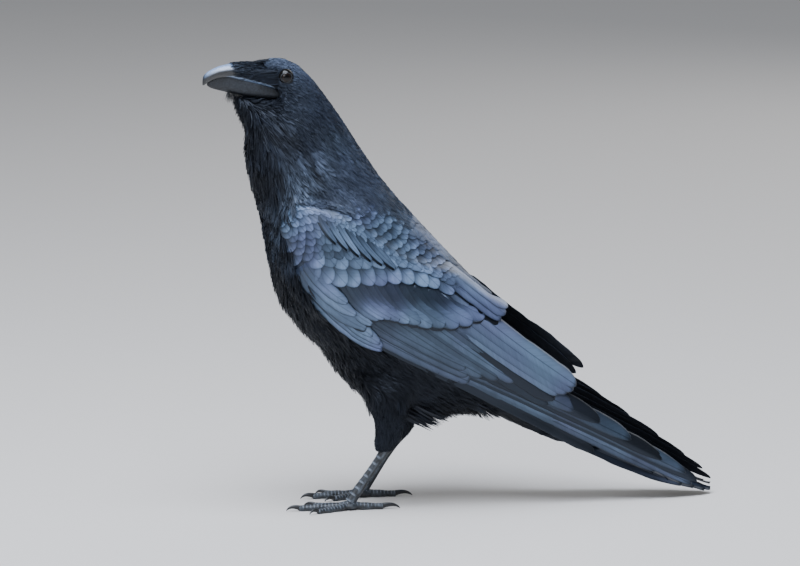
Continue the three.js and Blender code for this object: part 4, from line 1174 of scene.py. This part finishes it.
def billPiece(name, rows, upper, material, replaced):
    read = smoothRows(rows, np.linspace(0, 1, 64))
    x, top, low, w = (read[:, [i]] for i in range(4))
    angle = ringGrid(64, 44)[1]
    side, up = np.cos(angle), np.sin(angle)
    # round outside, and flat towards the other half of the bill
    square = np.where(up < 0 if upper else up > 0, 6.0, 2.05 if upper else 2.2)
    y = np.sign(side) * np.abs(side) ** (2 / square) * w
    rise = np.sign(up) * np.abs(up) ** (2 / square)
    if upper:
        # a narrow rounded ridge on top, and a groove above the lip along the cutting edge
        y = y * (1 - 0.16 * smoothstep(0.2, 0.95, rise))
        y = y * (1 - 0.045 * (band(rise, -0.52, 0.13) * smoothstep(-212, -200, x)))
        y = y * (1 + 0.035 * (band(rise, -0.86, 0.12) * smoothstep(-226, -212, x)))
    else:
        # narrower below, with a shallow hollow along the side
        y = y * (1 - 0.1 * smoothstep(0.3, 1.0, -rise))
        hollow = band(rise, -0.15, 0.3) * smoothstep(-214, -202, x) * smoothstep(-176, -184, x)
        y = y * (1 - 0.04 * hollow)
    z = (top + low) / 2 + rise * (top - low) / 2
    # painted highlights along the cutting edges, between the gape and the middle of the bill
    middle, width, pale = (-0.84, 0.1, 0.9) if upper else (0.86, 0.07, 0.6)
    wearAndHighlight = band(rise, middle, width) * smoothstep(-214, -202, x) * smoothstep(-166, -178, x) * pale
    if upper:
        # and a painted highlight along the ridge in front of the bristles
        wearAndHighlight = np.maximum(wearAndHighlight, 0.8 * smoothstep(0.0, 0.8, rise) * smoothstep(-192, -204, x)
                          * smoothstep(-233, -227, x))
    return tubePiece(name, stacked(x, y, z) * mm, material, replaced, wearAndHighlight)


upperBill = billPiece("Bill_upper", upperRows, True, upperHorn, ["bill_upper"])
billPiece("Bill_lower", lowerRows, False, lowerHorn, ["bill_lower"])

# Stiff bristles lie forward over the upper bill and hide the nostrils.
bristle = {"rows": 5, "columns": (-1, 1), "tip": 0.9, "power": 1.3, "base": 0.4, "rim": 0.2}
nasal = {"count": 2600, "front": -197, "back": -169, "above": 6.2, "bare": -208.5}
billFaces = upperBill.data.polygons
billTree = BVHTree.FromPolygons(numbersOf(upperBill.data.vertices, "co", 3).tolist(),
                                [list(face.vertices) for face in billFaces])
billNormals, billCentres = numbersOf(billFaces, "normal", 3), numbersOf(billFaces, "center", 3)
mouthLine = np.interp(billCentres[:, 0], [-0.205, -0.171], [0.3895, 0.3796])
bristled = ((billCentres[:, 0] > nasal["front"] * mm) & (billCentres[:, 0] < nasal["back"] * mm)
            & (billCentres[:, 2] > mouthLine + nasal["above"] * mm) & (billNormals[:, 2] > -0.5))
chance = np.where(bristled, numbersOf(billFaces, "area", 1)[:, 0], 0)
many = nasal["count"]
starts = billCentres[rng.choice(len(billFaces), many, p=chance / chance.sum())]
starts = starts + rng.normal(0, 0.5 * mm, (many, 3))
lengths = rng.uniform(8, 16, many) * mm
# short of the bill's bare front
room = np.maximum(starts[:, 0] - nasal["bare"] * mm, 4 * mm)
lengths = np.minimum(lengths, room * rng.uniform(0.7, 1.1, many))


def forward(points):
    return np.tile([-1.0, 0.0, -0.01], (len(points), 1))


path, ups = follow(billTree, billNormals, starts, lengths, 4, forward, rng.normal(0, 0.09, many))
raiseVanes("Nasal_bristles", path, ups, dict(
    bristle, length=lengths, half=rng.uniform(0.16, 0.34, many) * mm, low=-0.1 * mm,
    high=rng.uniform(0.3, 1.2, many) * mm, gloss=rng.uniform(0, 1, many) ** 2 * 0.7, tone=rng.random(many),
    roll=rng.normal(0, 0.1, many) * mm, bend=rng.normal(0, 0.5, many) * mm))
# the hindmost ones start on the forehead, every third, and on the lores
many = 2100
starts = np.stack([rng.uniform(-0.184, -0.167, many), rng.choice([-1, 1], many) * 0.03,
                   rng.uniform(0.386, 0.404, many)], -1)
starts[::3, 1] = rng.uniform(-0.01, 0.01, len(starts[::3]))
starts[::3, 2] = 0.42
starts = np.array([coatTree.find_nearest(p)[0] for p in starts.tolist()])
starts = starts[toPoint(starts, eyePlaces[0])[1] > eyeRoom["bristles"] * mm]
many = len(starts)
lengths = rng.uniform(8, 15, many) * mm
ups = np.array([faceNormals[coatTree.find_nearest(p)[2]] for p in starts.tolist()])
onTop = smoothstep(0.396, 0.402, starts[:, 2])
way = unit(stacked(-1, -7 * starts[:, 1] + rng.normal(0, 0.1, many),
                   -0.02 - 0.17 * onTop + rng.normal(0, 0.07, many)))
path = starts[:, None] + way[:, None] * lengths[:, None, None] * share
raiseVanes("Nasal_bristles", path, np.broadcast_to(ups[:, None], path.shape), dict(
    bristle, length=lengths, half=rng.uniform(0.16, 0.32, many) * mm, low=-0.5 * mm,
    high=(rng.uniform(0.1, 0.6, many) - 0.3 * onTop) * mm, gloss=rng.uniform(0, 1, many) ** 2 * 0.4,
    tone=rng.random(many)))
buildPiece("Nasal_bristles", bodyFeather)

# Fine bristles hang from the chin, close under the bill.
chin = {"count": 1700, "front": -210.5, "reach": 36, "droop": 0.8}
many = chin["count"]
at = rng.random(many)
rootX = chin["front"] + chin["reach"] * at
underside, breadth = (np.interp(rootX, *np.array(lowerRows)[:, [0, column]].T) for column in (2, 3))
offside = rng.uniform(-0.8, 0.8, many)
starts = stacked(rootX, offside * breadth, underside + 0.5 + 2.2 * offside ** 2) * mm
way = unit(stacked(-0.1 + 0.85 * at + rng.normal(0, 0.2, many), rng.normal(0, 0.16, many),
                   -0.9 + rng.normal(0, 0.15, many)))
lengths = rng.uniform(6, 14, many) * mm * (0.8 + 0.2 * at)
path = starts[:, None] + way[:, None] * lengths[:, None, None] * share
path = path + np.array([1.0, 0, 0]) * (rng.normal(chin["droop"], 0.7, many) * mm)[:, None, None] * share ** 2
ups = unit(np.cross(way, np.cross(np.array([-0.8, 0, 0.2]), way)))
raiseVanes("Chin_bristles", path, np.broadcast_to(ups[:, None], path.shape), dict(
    bristle, length=lengths, half=rng.uniform(0.16, 0.4, many) * mm, gloss=rng.uniform(0, 0.2, many),
    tone=rng.random(many)))
buildPiece("Chin_bristles", bodyFeather)


def offEyeAxis(add, place):
    # How far a place lies from the line through both eyes.
    axes = add("SeparateXYZ", {"Vector": place}, None)
    ahead = add("Math", {0: axes["X"], 1: -eyePlaces[0][0]}, operation="ADD")
    above = add("Math", {0: axes["Z"], 1: -eyePlaces[0][2]}, operation="ADD")
    return add("VectorMath", {0: add("CombineXYZ", {"X": ahead, "Y": above})}, "Value", operation="LENGTH")


# where the pupil gives way to the iris, the iris to its dark rim, and the lid's bare skin to the feathers
eyeRings = {"iris": (0.0024, 0.0028), "rim": (0.0039, 0.0047), "lid": (0.0048, 0.0052)}
wetEye, shader, add = newMaterial("Wet eye", Roughness=0.1, Specular_IOR_Level=0.1, Coat_Weight=0.7,
                                  Coat_Roughness=0.02, Coat_IOR=1.38)
# a clear wet front over a very dark brown iris and a black pupil
offAxis = offEyeAxis(add, add("TexCoord", out="Object"))
iris, rim = (add("MapRange", {0: offAxis, 1: eyeRings[key][0], 2: eyeRings[key][1]}, clamp=True)
             for key in ("iris", "rim"))
tint = add("Mix", {0: iris, 6: linear("#030303"), 7: linear("#160d09")}, 2, data_type="RGBA")
tint = add("Mix", {0: rim, 6: tint, 7: linear("#080706")}, 2, data_type="RGBA")
feed(shader, Base_Color=tint)

lidSkin, shader, add = newMaterial("Eyelid skin", Roughness=0.7)
# bare grey skin at the rim, dull and finely wrinkled, dark where it runs under the feathers
place = add("TexCoord", out="Object")
offAxis = offEyeAxis(add, place)
outward = add("MapRange", {0: offAxis, 1: eyeRings["lid"][0], 2: eyeRings["lid"][1]}, clamp=True)
wrinkles = add("TexNoise", {"Vector": place, "Scale": 1400.0, "Detail": 2.0})
tint = add("Mix", {0: wrinkles, 6: linear("#1c1e21"), 7: linear("#50555b")}, 2, data_type="RGBA")
tint = add("Mix", {0: outward, 6: tint, 7: linear("#0d0d0f")}, 2, data_type="RGBA")
feed(shader, Base_Color=tint)

# across the eyelid, from its rim on the eye to its edge below the feathers: radius and distance out
lidRows = [(4.35, 21.0), (4.38, 21.5), (4.5, 21.75), (4.66, 21.7), (4.8, 21.45), (5.1, 21.0), (5.6, 20.4),
           (6.4, 19.6), (7.4, 18.6)]
for mark, side in (("l", -1), ("r", 1)):
    middle = (eyeball["x"], side * eyeball["y"], eyeball["z"])
    eye = ball(f"Eye_{mark}", middle, [eyeball["radius"]] * 3, 40, 24)
    placePiece(eye, wetEye, [f"eye_{mark}"])
    n, m = 25, 48
    turn = ringGrid(n, m)[1]
    rows = smoothRows(lidRows, np.linspace(0, 1, n))
    # the opening is a little longer than high, and its corner points to the front
    wide = rows[:, :1] * (1 + 0.05 * np.cos(2 * turn) + 0.035 * np.clip(-np.cos(turn), 0, 1) ** 6)
    points = stacked(eyeball["x"] + wide * np.cos(turn), side * rows[:, 1:],
                     eyeball["z"] + wide * 0.97 * np.sin(turn))
    # beyond its rim the lid sinks into the coat
    for i, k in product(range(n), range(m)):
        sink = smoothstep(4.72, 5.3, rows[i, 0])
        spot = coatTree.ray_cast(Vector((points[i, k, 0] * mm, side * 0.05, points[i, k, 2] * mm)),
                                 Vector((0, -side, 0)))[0]
        under = side * spot.y / mm - 0.9 - 0.4 * max(rows[i, 0] - 5.4, 0)
        points[i, k, 1] = side * (side * points[i, k, 1] * (1 - sink) + under * sink)
    faces = tubeFaces(n, m)[:, ::side]
    lid, _ = newMesh(f"Eyelid_{mark}", points.reshape(-1, 3) * mm, [faces])
    placePiece(lid, lidSkin)
print("bill and eyes")

scaly, shader, add = newMaterial("Leg scales", Specular_IOR_Level=0.55)
# black horny scales with a slight shine, greyer and dusty in patches, paler at the marked scale ends
place = add("TexCoord", out="Object")
plates = add("TexVoronoi", {"Vector": place, "Scale": 620.0}, feature="DISTANCE_TO_EDGE")
dust = add("TexNoise", {"Vector": place, "Scale": 160.0, "Detail": 4.0})
dust = add("MapRange", {0: dust, 1: 0.35, 2: 0.75}, clamp=True)
tint = add("Mix", {0: dust, 6: linear("#0f1114"), 7: linear("#424951")}, 2, data_type="RGBA")
paleMark = add("Attribute", out="Fac", attribute_name="paleMark")
tint = add("Mix", {0: paleMark, 6: tint, 7: linear("#8f9baa")}, 2, data_type="RGBA")
seams = add("MapRange", {0: plates, 1: 0.0, 2: 0.12, 3: 0.45, 4: 1.0}, clamp=True)
tinted = add("VectorMath", {0: tint, "Scale": seams}, operation="SCALE")
roughness = add("Math", {0: dust, 1: 0.25, 2: 0.33}, operation="MULTIPLY_ADD")
bump = add("Bump", {"Height": seams, "Strength": 0.5, "Distance": 0.0003})
feed(shader, Base_Color=tinted, Roughness=roughness, Normal=bump)

clawHorn, shader, add = newMaterial("Claw horn", Base_Color=linear("#17181b"), Specular_IOR_Level=0.6)
# smooth black horn, worn to a satin
wearAndHighlight = add("TexNoise", {"Vector": add("TexCoord", out="Object"), "Scale": 300.0, "Detail": 3.0})
feed(shader, Roughness=add("Math", {0: wearAndHighlight, 1: 0.3, 2: 0.2}, operation="MULTIPLY_ADD"))

shank = {"top": (-63, 68), "low": (-105, 7), "width": 7.0, "depth": 8.4, "knee": 4.0, "scutes": 11,
         "raise": 0.26}
toes = {
    "toe1": {"turn": 180, "length": 30, "radius": 4.2, "claw": 17, "clawRadius": 2.6, "pads": 2},
    "toe2": {"turn": 30, "length": 34, "radius": 3.8, "claw": 12, "clawRadius": 2.2, "pads": 2},
    "toe3": {"turn": 2, "length": 46, "radius": 4.1, "claw": 13, "clawRadius": 2.4, "pads": 3},
    "toe4": {"turn": -28, "length": 36, "radius": 3.6, "claw": 11, "clawRadius": 2, "pads": 3},
}
footPad = (7.6, 6.4, 3.6)
toeScutes = {"pitch": 3.3, "raise": 0.17}
# how far each hip stands from the middle, how far the right foot stands behind, and how far a claw curls
hipY, step, curl = 33, 23, 1.15


def scutes(reach, pitch, raised):
    # Scales that overlap like tiles: each rises along its length and ends in a small step, paler just before
    # it.
    phase = (reach / pitch) % 1
    paleMark = smoothstep(0.66, 0.88, phase) * smoothstep(0.985, 0.93, phase)
    return raised * (phase ** 1.5 - 0.35) * smoothstep(1.0, 0.86, phase) * 1.3, paleMark


def foot(mark, side):
    back = step if side > 0 else 0
    top, low = (np.array([shank[end][0] + back, side * hipY, shank[end][1]]) for end in ("top", "low"))
    t, angle = ringGrid(90, 28)
    way = low - top
    length = np.linalg.norm(way)
    fore = np.array([way[2], 0, -way[0]]) / length
    flare = 1 + 0.15 * np.cos(t * 2 * math.pi)
    knee = shank["knee"] * np.maximum(0, 1 - t * 3)
    front = smoothstep(-0.25, 0.35, np.sin(angle))
    tiles, paleMark = scutes(t * length, length / shank["scutes"], shank["raise"])
    tiles = tiles * front
    deep = (shank["depth"] + knee) / 2 * flare + tiles
    wide = shank["width"] / 2 * flare * (1 - 0.12 * smoothstep(0.2, 1, -np.sin(angle))) + tiles * 0.6
    rings = sweep(top, (way, t), (fore, np.sin(angle) * deep), ([0, 1, 0], np.cos(angle) * wide))
    # pale too along the line where the front scales meet the sheath behind
    line = band(np.sin(angle), -0.12, 0.16) * (0.5 + 0.5 * np.sin(t * 37) * np.sin(t * 11 + 1))
    tubePiece(f"Shank_{mark}", rings * mm, scaly, [f"tarsus_{mark}"],
              np.maximum(paleMark * front * 0.7, line * 0.5))
    middle = np.array([low[0], low[1], 0.0])
    placePiece(ball(f"Foot_pad_{mark}", middle + [0, 0, footPad[2]], footPad, 28, 16), scaly)
    for name, toe in toes.items():
        turn = math.radians(180 + side * toe["turn"])
        out = np.array([math.cos(turn), math.sin(turn), 0])
        across = np.array([-out[1], out[0], 0])
        t, angle = ringGrid(84, 20)
        taper = toe["radius"] * (1 - 0.26 * t)
        swell = 1 + 0.1 * np.cos(t * 2 * math.pi * toe["pads"])
        upward = np.sin(angle)
        tiles, paleMark = scutes(t * toe["length"], toeScutes["pitch"], toeScutes["raise"])
        tiles = tiles * smoothstep(-0.2, 0.4, upward)
        cap = np.sqrt(np.clip((1.03 - t) / 0.06, 0.03, 1))
        size = (taper * np.where(upward < 0, swell ** 1.6, 1 + (swell - 1) * 0.5) + tiles) * cap
        height = np.maximum(taper - 0.9 + 1.6 * np.maximum(0, 1 - t * 3) + upward * size, 0.0)
        rings = sweep(middle, (out, t * toe["length"]), (across, np.cos(angle) * size), ([0, 0, 1], height))
        tubePiece(f"{name.title()}_{mark}", rings * mm, scaly, [f"{name}_{mark}"],
                  paleMark * smoothstep(-0.1, 0.6, upward) * 0.6)
        # the claw curves down to the ground
        t, angle = ringGrid(26, 16)
        start = toe["radius"] * 0.74 - 0.4
        bend = t * curl
        size = toe["clawRadius"] * (1 - t) ** 0.75 + 0.14
        ahead = np.sin(bend) / math.sin(curl) * toe["claw"]
        rise = start + 1.8 * np.sin(t * math.pi) - (start - 0.5) * t ** 1.6
        upward = np.sin(angle) * size
        rings = sweep(middle, (out, toe["length"] - 1.2 + ahead + upward * np.sin(bend) * 0.5),
                      (across, np.cos(angle) * size * 0.75),
                      ([0, 0, 1], np.maximum(rise + upward * np.cos(bend * 0.6), 0.05)))
        tubePiece(f"Claw_{name}_{mark}", rings * mm, clawHorn, [f"claw_{name}_{mark}"])


foot("l", -1)
foot("r", 1)
print("legs and feet")
